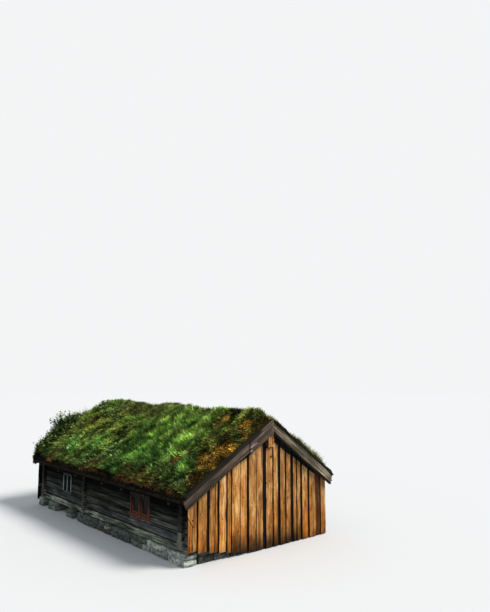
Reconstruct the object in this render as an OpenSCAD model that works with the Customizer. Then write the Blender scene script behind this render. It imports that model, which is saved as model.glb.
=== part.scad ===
// Turf house: notched log walls on dry stone, clad gables and a sod roof held by verge boards.
// X runs across the gable, Y from the front gable to the back one, Z up from the lowest ground.
// Lengths are in millimetres, and the origin is under the middle of the house.

/* [House] */
// Width of the gable cladding, corner to corner
house_w = 5000; // [4700:10:5200]
// Length from the front cladding's face to the back cladding's face
house_l = 9600; // [9300:50:10200]
// How far the gable cladding reaches past the face of the long walls
cladding_lap = 120; // [60:5:160]

/* [Log walls] */
// Height of one log course
log_h = 200; // [190:2:210]
// Thickness of a wall log
log_t = 160; // [130:5:190]
// Thickness of a sill log
sill_t = 230; // [200:5:260]
// Bevel along each edge of a log
log_bevel = 26; // [10:1:40]
// Number of courses in a long wall, the sill among them
long_courses = 7; // [6:1:7]
// Length of the log heads outside the walls that they cross
head_out = 100; // [60:5:115]
// Depth of the gable log walls behind the cladding's face
gable_set = 300; // [240:5:360]
// Distance of the cross wall's middle from the front cladding's face
cross_y = 5880; // [5700:10:6100]
// Play at the cheeks of each notch
notch_play = 0.4; // [0.1:0.1:0.8]

// Width of the open doorway in the cross wall
doorway_w = 760; // [650:10:900]
// Height of that doorway over the sill
doorway_h = 1600; // [1400:20:1700]

/* [Foundation] */
// Height of the dry stone under the long sills
stone_h = 280; // [220:5:340]
// Width of the dry stone at its top
stone_t = 360; // [300:10:420]
// How far each stone face leans out at its foot
stone_lean = 50; // [0:5:80]
// Distance from the cladding's face to the gable foundation
stone_set = 110; // [104:1:140]

// Height of the gable sills' seat over the long sills' seat, in courses
gable_lift = 0.5; // [0.5:0.5:0.5]

/* [Floor] */
// Diameter of the sleeper logs under the floor
sleeper_d = 200; // [160:5:210]
// How far the sleeper logs show outside the sills
sleeper_out = 40; // [10:5:80]
// Thickness of the floor planks
plank_t = 40; // [30:1:50]
// Width of one floor plank
plank_w = 220; // [180:5:260]
// Size of the groove between floor planks
plank_groove = 8; // [4:1:14]

/* [Roof] */
// Half the width of the roof at the eaves
eave_reach = 2665; // [2600:5:2760]
// Height of the verge board's top at the eaves
eave_z = 1700; // [1690:5:1740]
// Height of the verge board's top at the ridge
apex_z = 3420; // [3300:10:3560]
// How far the ridge stands to the right of the middle
ridge_x = 220; // [0:10:260]
// Distance from the cladding's face to the back of the verge boards
verge_out = 130; // [110:5:200]
// Depth of the sod below the verge board's top
sod_depth = 150; // [120:5:180]
// Thickness of the birch bark under the sod
bark_t = 10; // [5:1:14]
// How far the bark hangs out over the roof boards at the eave
bark_out = 12; // [4:1:14]
// Thickness of the roof boards
roof_board_t = 30; // [22:1:40]
// Depth of the rafters
rafter_depth = 120; // [100:5:140]
// Width of the rafters
rafter_w = 90; // [70:5:110]
// How far the rafters end short of the roof boards
rafter_in = 50; // [20:5:120]
// Greatest distance between rafter pairs in a room
rafter_step = 1360; // [1200:10:1500]
// Rise of the sod above the verge boards along the ridge
sod_crown = 175; // [140:5:200]
// Rise of the sod above the verge boards along the eaves
sod_eave = 75; // [60:5:100]
// Height of the hummocks in the sod
sod_lump = 95; // [0:5:110]
// Diameter of the log that holds the sod at the eave
eave_log_d = 140; // [110:5:170]
// Distance of that log from the edge of the roof boards
eave_log_in = 4; // [0:1:20]

/* [Purlins] */
// Width of the ridge purlin
ridge_purlin_w = 250; // [200:5:280]
// Depth of the ridge purlin
ridge_purlin_h = 420; // [360:5:440]
// Length of the ridge purlin outside the cladding
ridge_purlin_out = 60; // [45:5:100]
// Width of the side purlins
purlin_w = 180; // [140:5:220]
// Depth of the side purlins
purlin_h = 230; // [200:5:260]

/* [Verge boards] */
// Thickness of a verge board
verge_t = 30; // [22:1:40]
// Depth of the front left verge board
verge_left_h = 235; // [215:5:260]
// Depth of the wide board nailed over its upper end
verge_over_h = 350; // [300:5:380]
// Reach of that board down the slope, measured level
verge_over_run = 850; // [600:10:1400]
// Depth of the other verge boards
verge_h = 265; // [230:5:300]
// Width of the cap boards
cap_w = 170; // [150:5:190]
// Thickness of the cap boards
cap_t = 34; // [24:1:40]
// How far the cap boards stand out past the verge boards
cap_lip = 6; // [2:1:20]

/* [Gable cladding] */
// Thickness of the outer boards
board_t = 26; // [20:1:32]
// Thickness of the boards behind their gaps
back_board_t = 22; // [18:1:28]
// Lap of the boards behind each outer board
back_lap = 18; // [10:1:30]
// Depth of the rails that carry the cladding
rail_t = 50; // [40:1:60]
// Height of the rails that carry the cladding
rail_h = 100; // [80:5:120]
// Clear space round the ridge purlin where the cladding lets it through
purlin_play = 4; // [1:1:10]

/* [Windows] */
// Distance of the near window's edge from the front cladding's face
near_y = 1940; // [1800:10:2200]
// Width of the near window
near_w = 1070; // [950:10:1150]
// Height of the near window's lower edge
near_z = 740; // [700:5:800]
// Height of the near window
near_h = 660; // [560:10:690]
// Distance of the far window's edge from the front cladding's face
far_y = 6950; // [6700:10:7300]
// Width of the far window
far_w = 670; // [560:10:720]
// Height of the far window's lower edge
far_z = 700; // [690:5:760]
// Height of the far window
far_h = 660; // [560:10:690]
// Width of the window frames' members
frame_w = 80; // [60:5:100]
// Width of the near window's sash members
sash_w = 75; // [55:5:85]
// Depth of the window frames
frame_depth = 120; // [90:5:150]
// Depth of the sashes
sash_depth = 45; // [35:1:55]
// Thickness of the window glass
glass_t = 4; // [3:1:6]
// How far the window frames stand out of the wall
frame_out = 15; // [5:1:40]
// Depth of the grooves that hold the glass
glass_bite = 15; // [8:1:25]
// Play round each window and door in its opening
fit_play = 0.4; // [0.1:0.1:0.8]

/* [Door] */
// Width of the door leaf in the back gable
door_w = 820; // [700:10:900]
// Height of the door leaf
door_h = 1560; // [1400:10:1640]
// Width of the door frame's members
jamb_w = 80; // [60:5:100]
// Thickness of the door's boards
door_t = 30; // [24:1:40]
// Number of boards in the door
door_boards = 4; // [3:1:6]
// Lap of the door leaf on its frame's stop
door_stop = 20; // [10:1:30]
// Depth of the door leaf behind the frame's face
door_in = 10; // [2:1:20]
// Height of the two ledges behind the door's boards
ledge_h = 120; // [90:5:150]
// Thickness of the ledges
ledge_t = 30; // [20:1:40]

/* [Hidden] */

// Sides: left is -1 and right is 1. Ends: front is -1 and back is 1.
left = -1;
right = 1;
front = -1;
back = 1;

// Walls
wall_face = house_w / 2 - cladding_lap;
wall_mid = wall_face - log_t / 2;
gable_mid = gable_set + log_t / 2;
skin_t = board_t + back_board_t;
head_end = skin_t + rail_t;
notch_h = log_h / 2;
gable_z = stone_h + gable_lift * log_h;
gable_logs = ceil((apex_z - gable_z) / log_h);

// Roof layers, as heights under the verge board's top
bark_top = -sod_depth;
boards_top = bark_top - bark_t;
boards_under = boards_top - roof_board_t;
rafters_under = boards_under - rafter_depth;
verge_y = house_l / 2 + verge_out;

function run(s) = eave_reach - s * ridge_x;
function fall(s) = (apex_z - eave_z) / run(s);
function roof_z(x) = apex_z - abs(x - ridge_x) * fall(x < ridge_x ? left : right);

// Puts what is drawn inward from a gable's face at the front or the back end
module at_end(e) {
    mirror([0, e == back ? 1 : 0, 0]) translate([0, -house_l / 2, 0]) children();
}

// Draws a shape of the gable's plane as a prism from y0 to y1
module along_y(y0, y1) {
    translate([0, y1, 0]) rotate([90, 0, 0]) linear_extrude(y1 - y0) children();
}

// Draws a shape of the long side's plane as a prism from x0 to x1
module along_x(x0, x1) {
    translate([x0, 0, 0]) rotate([90, 0, 90]) linear_extrude(x1 - x0) children();
}

// Everything below a line that runs under the roof at a given height from the verge board's top
module under_roof(drop) {
    along_y(-house_l, house_l) polygon([
        [-house_l, -house_l], [-house_l, roof_z(-house_l) + drop], [ridge_x, apex_z + drop],
        [house_l, roof_z(house_l) + drop], [house_l, -house_l]
    ]);
}

// One layer of the roof on one side, between two heights from the verge board's top
module roof_layer(s, top, under, from_x, to_x) {
    polygon([
        [from_x, roof_z(from_x) + top], [to_x, roof_z(to_x) + top],
        [to_x, roof_z(to_x) + under], [from_x, roof_z(from_x) + under]
    ]);
}

// End view of a hewn log with bevelled edges, standing on z
module log_end(mid, z, t, h) {
    b = log_bevel;
    translate([mid, z]) polygon([
        [-t / 2 + b, 0], [t / 2 - b, 0], [t / 2, b], [t / 2, h - b],
        [t / 2 - b, h], [-t / 2 + b, h], [-t / 2, h - b], [-t / 2, b]
    ]);
}

// Width of course n: the lowest is the sill
function course_t(n) = n == 0 ? sill_t : log_t;

// The middle bands that the logs of a gable or cross wall take out of the long walls
module cross_bands(y_mid, first_t) {
    for (n = [0 : gable_logs], s = [left, right]) {
        t = (n == 0 ? first_t : log_t) + 2 * notch_play;
        translate([s * wall_mid - sill_t, y_mid - t / 2, gable_z + (n + 0.25) * log_h])
            cube([2 * sill_t, t, notch_h]);
    }
}

// The middle bands that the logs of the long walls take out of a gable or cross wall
module long_bands(y_mid) {
    for (n = [0 : long_courses - 1], s = [left, right]) {
        t = course_t(n) + 2 * notch_play;
        low = n == 0 ? log_h : 0;
        translate([s * wall_mid - t / 2, y_mid - sill_t, stone_h + (n + 0.25) * log_h - low])
            cube([t, 2 * sill_t, notch_h + low]);
    }
}

module all_cross_bands() {
    for (e = [front, back]) at_end(e) cross_bands(gable_mid, sill_t);
    at_end(front) cross_bands(cross_y, log_t);
}

// Dry stone
module stone_strip(y0, y1, top) {
    along_y(y0, y1) polygon([
        [-stone_t / 2 - stone_lean, 0], [stone_t / 2 + stone_lean, 0],
        [stone_t / 2, top], [-stone_t / 2, top]
    ]);
}

// Sleeper logs, wider by a play where they are cut out of the stones
near_sleeper = 3400;
far_sleeper = 1300;
sleeper_places = [near_sleeper, cross_y, house_l - far_sleeper];
// Lengths of the stones under the far left corner and of the pier under the far sleeper
corner_pier = 520;
sleeper_pier = 600;
// Length of the pier between the far sleeper and the cross wall, and its distance from the cross wall
middle_pier = 560;
middle_pier_gap = 680;
// Length of the stones beyond the cross wall
stone_past_cross = 370;
module sleepers(play) {
    reach = wall_mid + sill_t / 2 + sleeper_out;
    for (y = sleeper_places)
        translate([-reach, y - house_l / 2, stone_h - sleeper_d / 2]) rotate([0, 90, 0])
            cylinder(h = 2 * reach, d = sleeper_d + 2 * play, $fn = 48);
}

module long_foundation(s, stretches) {
    color("slategray") difference() {
        translate([s * wall_mid, 0, 0]) for (p = stretches)
            stone_strip(p[0] - house_l / 2, p[1] - house_l / 2, stone_h);
        sleepers(fit_play);
    }
}

// The left one ends in piers with open gaps, where the ground falls away
module foundation_left() {
    middle = cross_y + middle_pier_gap;
    pier = house_l - far_sleeper - sleeper_pier / 2;
    long_foundation(left, [
        [head_end, cross_y + stone_past_cross], [middle, middle + middle_pier], [pier, pier + sleeper_pier],
        [house_l - corner_pier, house_l - head_end]
    ]);
}
module foundation_right() long_foundation(right, [[head_end, house_l - head_end]]);

module gable_foundation(e) {
    half = wall_mid - stone_t / 2 - stone_lean - fit_play;
    depth = stone_set + stone_t / 2 + stone_lean;
    color("slategray") at_end(e) along_x(-half, half) polygon([
        [stone_set, 0], [stone_set + stone_t + 2 * stone_lean, 0],
        [depth + stone_t / 2, gable_z], [stone_set + stone_lean, gable_z]
    ]);
}
module foundation_front() gable_foundation(front);
module foundation_back() gable_foundation(back);

// Floor
module floor_sleepers() color("saddlebrown") sleepers(0);

module floor_planks() {
    half = wall_mid - sill_t / 2 - fit_play;
    from_y = stone_set + stone_t + 2 * stone_lean + fit_play;
    planks = floor(2 * half / plank_w);
    color("tan") difference() {
        translate([-half, from_y - house_l / 2, stone_h]) cube([2 * half, house_l - 2 * from_y, plank_t]);
        for (n = [1 : planks - 1])
            translate([-half + n * 2 * half / planks, 0, stone_h + plank_t]) rotate([0, 45, 0])
                cube([plank_groove, house_l, plank_groove], center = true);
    }
}

// Long walls
module long_log(s, n) {
    along_y(-house_l / 2 + head_end, house_l / 2 - head_end)
        log_end(s * wall_mid, stone_h + n * log_h, course_t(n), log_h);
}

module long_sill(s) {
    color("silver") difference() {
        long_log(s, 0);
        all_cross_bands();
    }
}
module sill_left() long_sill(left);
module sill_right() long_sill(right);

module long_wall(s) {
    difference() {
        intersection() {
            for (n = [1 : long_courses - 1]) long_log(s, n);
            under_roof(rafters_under);
        }
        all_cross_bands();
    }
}

// A window's space in the left wall
module window_space(y, z, w, h) {
    translate([-wall_mid - log_t, y - house_l / 2, z]) cube([2 * log_t, w, h]);
}

module log_wall_left() {
    color("dimgray") difference() {
        long_wall(left);
        window_space(near_y, near_z, near_w, near_h);
        window_space(far_y, far_z, far_w, far_h);
    }
}
module log_wall_right() color("dimgray") long_wall(right);

// Gable walls
gable_reach = wall_face + head_out;

module gable_sill(e) {
    color("silver") difference() {
        at_end(e) along_x(-gable_reach, gable_reach) log_end(gable_mid, gable_z, sill_t, log_h);
        at_end(e) long_bands(gable_mid);
    }
}
module sill_front() gable_sill(front);
module sill_back() gable_sill(back);

// Logs across the house from the given course up to the roof boards
module cross_logs(y_mid, first) {
    difference() {
        intersection() {
            for (n = [first : gable_logs])
                along_x(-gable_reach, gable_reach) log_end(y_mid, gable_z + n * log_h, log_t, log_h);
            translate([0, house_l / 2, 0]) under_roof(boards_under);
        }
        long_bands(y_mid);
    }
}

module gable_wall(e) {
    difference() {
        at_end(e) cross_logs(gable_mid, 1);
        purlins(notch_play);
    }
}
module log_wall_front() color("dimgray") gable_wall(front);
module log_wall_back() {
    color("dimgray") difference() {
        gable_wall(back);
        at_end(back) door_cut();
    }
}

// The wall between the two rooms stands on the floor planks and has an open doorway
module log_wall_cross() {
    foot = stone_h + plank_t;
    color("dimgray") difference() {
        at_end(front) union() {
            cross_logs(cross_y, 0);
            difference() {
                along_x(-gable_reach, gable_reach)
                    translate([cross_y - log_t / 2 + log_bevel, foot])
                        square([log_t - 2 * log_bevel, gable_z + log_bevel - foot]);
                long_bands(cross_y);
            }
        }
        purlins(notch_play);
        at_end(front) translate([ridge_x - doorway_w / 2, cross_y - log_t, gable_z])
            cube([doorway_w, 2 * log_t, doorway_h]);
    }
}

// Windows
module ring(y, z, w, h, member, x0, depth) {
    translate([-x0, y, z]) difference() {
        cube([depth, w, h]);
        translate([-1, member, member]) cube([depth + 2, w - 2 * member, h - 2 * member]);
    }
}

frame_face = wall_face + frame_out;
glass_play = 0.1;

module window_near_frame() {
    w = near_w - 2 * fit_play;
    h = near_h - 2 * fit_play;
    y = near_y - house_l / 2 + fit_play;
    z = near_z + fit_play;
    color("firebrick") union() {
        ring(y, z, w, h, frame_w, frame_face, frame_depth);
        translate([-frame_face, y + w / 2 - frame_w / 2, z + frame_w / 2])
            cube([frame_depth, frame_w, h - frame_w]);
    }
}

// The two sashes of the near window: [start, width] of each
function near_sash(n) =
    let (clear = (near_w - 2 * fit_play - 3 * frame_w) / 2)
    [near_y - house_l / 2 + fit_play + frame_w + n * (clear + frame_w) + fit_play, clear - 2 * fit_play];
near_sash_z = near_z + 2 * fit_play + frame_w;
near_sash_h = near_h - 4 * fit_play - 2 * frame_w;

module near_panes(play) {
    for (n = [0, 1]) {
        p = near_sash(n);
        lap = sash_w - glass_bite;
        translate([-frame_face + sash_depth - play, p[0] + lap - play, near_sash_z + lap - play])
            cube([glass_t + 2 * play, p[1] - 2 * lap + 2 * play, near_sash_h - 2 * lap + 2 * play]);
    }
}

module window_near_sashes() {
    color("indianred") difference() {
        for (n = [0, 1])
            ring(near_sash(n)[0], near_sash_z, near_sash(n)[1], near_sash_h, sash_w,
                frame_face - sash_depth / 2, sash_depth);
        near_panes(glass_play);
    }
}

module far_panes(play) {
    w = far_w - 2 * fit_play;
    h = far_h - 2 * fit_play;
    lap = frame_w - glass_bite;
    translate([-frame_face + frame_depth / 2 - play, far_y - house_l / 2 + fit_play + lap - play,
               far_z + fit_play + lap - play])
        cube([glass_t + 2 * play, w - 2 * lap + 2 * play, h - 2 * lap + 2 * play]);
}

module window_far_frame() {
    w = far_w - 2 * fit_play;
    h = far_h - 2 * fit_play;
    y = far_y - house_l / 2 + fit_play;
    z = far_z + fit_play;
    color("lightsteelblue") difference() {
        union() {
            ring(y, z, w, h, frame_w, frame_face, frame_depth);
            translate([-frame_face, y + w / 2 - frame_w / 2, z + frame_w / 2])
                cube([frame_depth, frame_w, h - frame_w]);
        }
        far_panes(glass_play);
    }
}

module window_glass() {
    color("lightcyan", 0.4) union() {
        near_panes(0);
        far_panes(0);
    }
}

// Door in the back gable, drawn inward from the gable's face
door_z = gable_z + log_h;
door_gap = 4;
board_groove = 9;
// Heights of the ledges, as shares of the door's height
ledge_places = [0.18, 0.78];
module door_cut() {
    translate([ridge_x - door_w / 2 - jamb_w, -gable_set, door_z])
        cube([door_w + 2 * jamb_w, 3 * gable_set, door_h + jamb_w]);
}

module door_frame() {
    w = door_w + 2 * jamb_w - 2 * fit_play;
    h = door_h + jamb_w - fit_play;
    color("sienna") at_end(back) difference() {
        translate([ridge_x - w / 2, 0, door_z]) cube([w, gable_set + log_t, h]);
        translate([ridge_x - door_w / 2 - fit_play, -1, door_z - 1])
            cube([door_w + 2 * fit_play, door_in + door_t + 1, door_h + 1 + fit_play]);
        translate([ridge_x - door_w / 2 + door_stop, -1, door_z - 1])
            cube([door_w - 2 * door_stop, 3 * gable_set, door_h + 1 - door_stop]);
    }
}

module door_leaf() {
    board = door_w / door_boards;
    ledge_w = door_w - 2 * door_stop - 2 * board_groove;
    color("peru") at_end(back) union() {
        difference() {
            translate([ridge_x - door_w / 2, door_in, door_z + door_gap])
                cube([door_w, door_t, door_h - door_gap]);
            for (n = [1 : door_boards - 1])
                translate([ridge_x - door_w / 2 + n * board, door_in, door_z + door_h / 2]) rotate([0, 0, 45])
                    cube([board_groove, board_groove, 2 * door_h], center = true);
        }
        for (z = ledge_places)
            translate([ridge_x - ledge_w / 2, door_in + door_t, door_z + z * door_h])
                cube([ledge_w, ledge_t, ledge_h]);
    }
}

// Purlins
function purlin_x(s) = ridge_x + s * run(s) / 2;
purlin_top = (apex_z + eave_z) / 2 + rafters_under;

module purlin_end(x, w, h, top, play) {
    b = log_bevel;
    polygon([
        [x - w / 2 - play, top - h + b], [x - w / 2 + b, top - h], [x + w / 2 - b, top - h],
        [x + w / 2 + play, top - h + b], [x + w / 2 + play, top + h], [x - w / 2 - play, top + h]
    ]);
}

module side_purlin(s, play) {
    intersection() {
        along_y(-house_l / 2 + head_end, house_l / 2 - head_end)
            purlin_end(purlin_x(s), purlin_w, purlin_h, purlin_top, play);
        under_roof(rafters_under + play);
    }
}

module main_purlin(play) {
    y = house_l / 2 + ridge_purlin_out;
    intersection() {
        along_y(-y, y) purlin_end(ridge_x, ridge_purlin_w, ridge_purlin_h, apex_z + rafters_under, play);
        under_roof(rafters_under + play);
    }
}

module purlins(play) {
    side_purlin(left, play);
    side_purlin(right, play);
    main_purlin(play);
}
module ridge_purlin() color("goldenrod") main_purlin(0);
module purlin_left() color("saddlebrown") side_purlin(left, 0);
module purlin_right() color("saddlebrown") side_purlin(right, 0);

// Rafters and roof boards
module rafter(s, y0) {
    along_y(y0, y0 + rafter_w)
        roof_layer(s, boards_under, rafters_under, ridge_x, s * (eave_reach - rafter_in));
}

// Distance of a room's first and last rafter pair from the walls, to the rafter's middle
first_rafter = 240;

// Rafters of the room between two walls, with the same distance from each wall
module room_rafters(s, from_y, to_y) {
    length = to_y - from_y - 2 * first_rafter;
    steps = ceil(length / rafter_step);
    for (n = [0 : steps])
        rafter(s, from_y + first_rafter + n * length / steps - rafter_w / 2 - house_l / 2);
}

module rafters(s) {
    color("saddlebrown") {
        room_rafters(s, gable_set + log_t, cross_y - log_t / 2);
        room_rafters(s, cross_y + log_t / 2, house_l - gable_set - log_t);
        rafter(s, -verge_y);
        rafter(s, verge_y - rafter_w);
    }
}
module rafters_left() rafters(left);
module rafters_right() rafters(right);

module roof_boards(s) {
    color("burlywood") along_y(-verge_y, verge_y)
        roof_layer(s, boards_top, boards_under, ridge_x, s * eave_reach);
}
module roof_boards_left() roof_boards(left);
module roof_boards_right() roof_boards(right);

module bark(s) {
    color("wheat") along_y(-verge_y, verge_y)
        roof_layer(s, bark_top, boards_top, ridge_x, s * (eave_reach + bark_out));
}
module bark_left() bark(left);
module bark_right() bark(right);

// Sod: a skin of hummocks over a flat bed, level with the verge boards under the cap boards
sod_rows = 12;
sod_steps = 40;
sod_out = eave_log_d + 2 * eave_log_in + 4;
verge_strip = cap_w - 2 * verge_t - cap_lip + 10;
// Distance over which the sod rises from the verge to its full height
verge_rise = 420;
sod_belly = 45;
// Hummocks are crossing waves: length, heading from the ridge's line, start and share of the height
sod_waves = [[1450, 24, 0, 0.3], [1150, -62, 110, 0.26], [900, 78, 40, 0.24], [760, -14, 200, 0.2]];
// Larger mounds and hollows: x, place from the front (-1) to the back (1), radius and height
sod_mounds = [
    [-2120, 0.90, 620, 250], [-1150, 0.92, 650, 170], [-350, 0.88, 560, 80], [-1200, 0.36, 680, 60],
    [-2150, -0.05, 520, 45], [-1450, -0.46, 600, 65], [-420, -0.09, 600, 55], [-2100, 0.53, 450, 45],
    [220, -0.73, 520, 65], [220, -0.38, 760, -45], [220, 0.7, 1000, 60],
    [1600, -0.57, 600, 60], [1250, 0.08, 700, 70], [1900, 0.63, 600, 60], [950, 0.8, 520, 70]];

function sod_x(s, u) = ridge_x + s * u * (run(s) - sod_out);
function sod_y(v) =
    v == 0 ? -verge_y :
    v == sod_steps ? verge_y :
    -verge_y + verge_strip + (v - 1) * (2 * verge_y - 2 * verge_strip) / (sod_steps - 2);
function ramp(a) = max(0, min(1, a));
function total(list, n = 0) = n == len(list) ? 0 : list[n] + total(list, n + 1);
function hummocks(x, y) =
    sod_lump * total([for (w = sod_waves) w[3] * sin(360 * (y * cos(w[1]) + x * sin(w[1])) / w[0] + w[2])]);
function mounds(x, y) = total([for (m = sod_mounds)
    m[3] * exp(-(pow(x - m[0], 2) + pow(y - m[1] * verge_y, 2)) / pow(m[2], 2))]);
function sod_rise(u, x, y) =
    let (in_from_verge = verge_y - verge_strip - abs(y))
    in_from_verge <= 0.01 ? 0 :
    sin(90 * ramp(in_from_verge / verge_rise)) * (sod_crown + (sod_eave - sod_crown) * pow(u, 1.5)
        + sod_belly * sin(180 * u) + hummocks(x, y) + mounds(x, y));

module sod(s) {
    rows = sod_rows + 1;
    steps = sod_steps + 1;
    top = [for (v = [0 : sod_steps], n = [0 : sod_rows])
        let (x = sod_x(s, n / sod_rows), y = sod_y(v)) [x, y, roof_z(x) + sod_rise(n / sod_rows, x, y)]];
    last = sod_rows + sod_steps * rows;
    rim = concat(
        [for (n = [0 : sod_rows]) n],
        [for (v = [1 : sod_steps]) v * rows + sod_rows],
        [for (n = [1 : sod_rows]) last - n],
        [for (v = [1 : sod_steps - 1]) (sod_steps - v) * rows]);
    bed = [for (i = rim) [top[i][0], top[i][1], roof_z(top[i][0]) + bark_top]];
    mid_x = sod_x(s, 0.5);
    b = rows * steps;
    count = len(rim);
    skin = [for (v = [0 : sod_steps - 1], n = [0 : sod_rows - 1], half = [0, 1])
        let (a = v * rows + n)
        half == 0 ? [a, a + rows, a + 1] : [a + 1, a + rows, a + rows + 1]];
    edge = [for (i = [0 : count - 1], half = [0, 1])
        let (j = (i + 1) % count)
        half == 0 ? [rim[i], rim[j], b + j] : [rim[i], b + j, b + i]];
    under = [for (i = [0 : count - 1]) [b + count, b + i, b + (i + 1) % count]];
    faces = concat(skin, edge, under);
    turned = [for (f = faces) [f[2], f[1], f[0]]];
    points = concat(top, bed, [[mid_x, 0, roof_z(mid_x) + bark_top]]);
    color("olivedrab") polyhedron(points = points, faces = s == right ? faces : turned);
}
module turf_left() sod(left);
module turf_right() sod(right);

// Eave logs lie on the bark at the foot of the sod
module eave_log(s) {
    r = eave_log_d / 2;
    x = s * (eave_reach - r - eave_log_in);
    lift = r * sqrt(1 + fall(s) * fall(s));
    color("dimgray") translate([x, -verge_y, roof_z(x) + bark_top + lift]) rotate([-90, 0, 0])
        cylinder(h = 2 * verge_y, r = r, $fn = 40);
}
module eave_log_left() eave_log(left);
module eave_log_right() eave_log(right);

// Gable cladding
rail_places = [stone_h + 1.8 * log_h, stone_h + 5.5 * log_h, purlin_top - purlin_h + 30];
rail_in = 30;

module cladding_rails(e) {
    half = house_w / 2 - rail_in;
    color("peru") at_end(e) difference() {
        intersection() {
            for (z = rail_places)
                translate([-half, skin_t, z]) cube([2 * half, rail_t, rail_h]);
            translate([0, house_l / 2, 0]) under_roof(boards_under);
        }
        if (e == back)
            door_cut();
    }
}
module cladding_rails_front() cladding_rails(front);
module cladding_rails_back() cladding_rails(back);

// Width of each outer board and of the gap after it, from the left corner
board_row = [
    [250, 80], [245, 80], [170, 15], [85, 50], [240, 35], [125, 35], [265, 5], [250, 55],
    [245, 20], [250, 115], [235, 40], [180, 80], [205, 20], [190, 105], [130, 20], [130, 85],
    [200, 110], [250, 230], [225, 0]
];
row_total = board_row_end(len(board_row) - 1);
function board_row_end(n) = n < 0 ? 0 : board_row_end(n - 1) + board_row[n][0] + board_row[n][1];
row_scale = house_w / row_total;
function board_start(n) = -house_w / 2 + row_scale * board_row_end(n - 1);

// Height of the boards' feet: the ground at the front falls to the right
foot_line = [[-2500, 410], [-1200, 150], [-300, 30], [2500, 20]];
back_foot = 190;
function foot_z(e, x) = e == front ? lookup(x, foot_line) : back_foot;

// Some boards end a little higher or lower than their neighbours
function ragged(n) = 10 * sin(n * 137);

module board(e, x, w, y, t, n) {
    translate([x, y, foot_z(e, x + w / 2) + ragged(n)]) cube([w, t, apex_z]);
}

module cladding(e) {
    last = len(board_row) - 1;
    color(e == front ? "peru" : "tan") at_end(e) difference() {
        intersection() {
            union() {
                for (n = [0 : last])
                    board(e, board_start(n), board_row[n][0] * row_scale, 0, board_t, n);
                for (n = [0 : last - 1])
                    board(e, board_start(n) + row_scale * board_row[n][0] - back_lap,
                        board_row[n][1] * row_scale + 2 * back_lap, board_t, back_board_t, n + 0.5);
            }
            translate([0, house_l / 2, 0]) under_roof(boards_under);
        }
        translate([0, -2 * ridge_purlin_out, 0]) along_y(0, 4 * ridge_purlin_out + skin_t)
            purlin_end(ridge_x, ridge_purlin_w + 2 * purlin_play, ridge_purlin_h + purlin_play,
                apex_z + rafters_under, 0);
        if (e == back)
            door_cut();
    }
}
module cladding_front() cladding(front);
module cladding_back() cladding(back);

// Verge boards and caps
module verge_board(e, s, depth) {
    color("gray") at_end(e) along_y(-verge_out - verge_t, -verge_out)
        roof_layer(s, 0, -depth, ridge_x, s * eave_reach);
}
module verge_board_front_left() verge_board(front, left, verge_left_h);
module verge_board_front_right() verge_board(front, right, verge_h);
module verge_board_back_left() verge_board(back, left, verge_h);
module verge_board_back_right() verge_board(back, right, verge_h);
module verge_board_front_over() {
    color("darkgray") at_end(front) along_y(-verge_out - 2 * verge_t, -verge_out - verge_t)
        roof_layer(left, 0, -verge_over_h, ridge_x, ridge_x - verge_over_run);
}

module cap_boards(e) {
    cap_y = -verge_out - 2 * verge_t - cap_lip;
    color("lightgray") at_end(e) for (s = [left, right])
        along_y(cap_y, cap_y + cap_w)
            roof_layer(s, cap_t, 0, ridge_x, s * (eave_reach + cap_lip));
}
module cap_boards_front() cap_boards(front);
module cap_boards_back() cap_boards(back);

foundation_left();
foundation_right();
foundation_front();
foundation_back();
floor_sleepers();
floor_planks();
sill_left();
sill_right();
sill_front();
sill_back();
log_wall_left();
log_wall_right();
log_wall_front();
log_wall_back();
log_wall_cross();
window_near_frame();
window_near_sashes();
window_far_frame();
window_glass();
door_frame();
door_leaf();
ridge_purlin();
purlin_left();
purlin_right();
rafters_left();
rafters_right();
roof_boards_left();
roof_boards_right();
bark_left();
bark_right();
turf_left();
turf_right();
eave_log_left();
eave_log_right();
cladding_rails_front();
cladding_rails_back();
cladding_front();
cladding_back();
verge_board_front_left();
verge_board_front_over();
verge_board_front_right();
verge_board_back_left();
verge_board_back_right();
cap_boards_front();
cap_boards_back();
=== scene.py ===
import math

import bpy
import numpy as np
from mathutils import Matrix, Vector
from mathutils.bvhtree import BVHTree


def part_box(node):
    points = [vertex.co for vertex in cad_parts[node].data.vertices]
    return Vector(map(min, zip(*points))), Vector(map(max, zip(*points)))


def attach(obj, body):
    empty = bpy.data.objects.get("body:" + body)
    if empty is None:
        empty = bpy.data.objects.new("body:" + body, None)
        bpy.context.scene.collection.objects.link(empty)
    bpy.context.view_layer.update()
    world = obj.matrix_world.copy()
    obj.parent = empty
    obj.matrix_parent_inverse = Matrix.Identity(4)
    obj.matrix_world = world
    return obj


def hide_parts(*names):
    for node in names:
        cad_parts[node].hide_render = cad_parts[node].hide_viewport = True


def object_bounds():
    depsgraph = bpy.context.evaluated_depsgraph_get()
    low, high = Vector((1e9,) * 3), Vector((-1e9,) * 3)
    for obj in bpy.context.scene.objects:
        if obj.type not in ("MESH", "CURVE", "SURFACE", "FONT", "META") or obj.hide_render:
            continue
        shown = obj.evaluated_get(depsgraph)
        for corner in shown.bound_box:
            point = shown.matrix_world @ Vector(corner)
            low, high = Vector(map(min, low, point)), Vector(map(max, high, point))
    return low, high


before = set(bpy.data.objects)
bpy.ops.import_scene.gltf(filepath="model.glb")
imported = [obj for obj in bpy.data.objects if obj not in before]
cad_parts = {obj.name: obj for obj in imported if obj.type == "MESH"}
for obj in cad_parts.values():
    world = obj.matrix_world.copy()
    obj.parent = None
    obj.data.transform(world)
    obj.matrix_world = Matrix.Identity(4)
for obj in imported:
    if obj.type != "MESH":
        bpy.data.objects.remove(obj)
cad_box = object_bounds()

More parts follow.
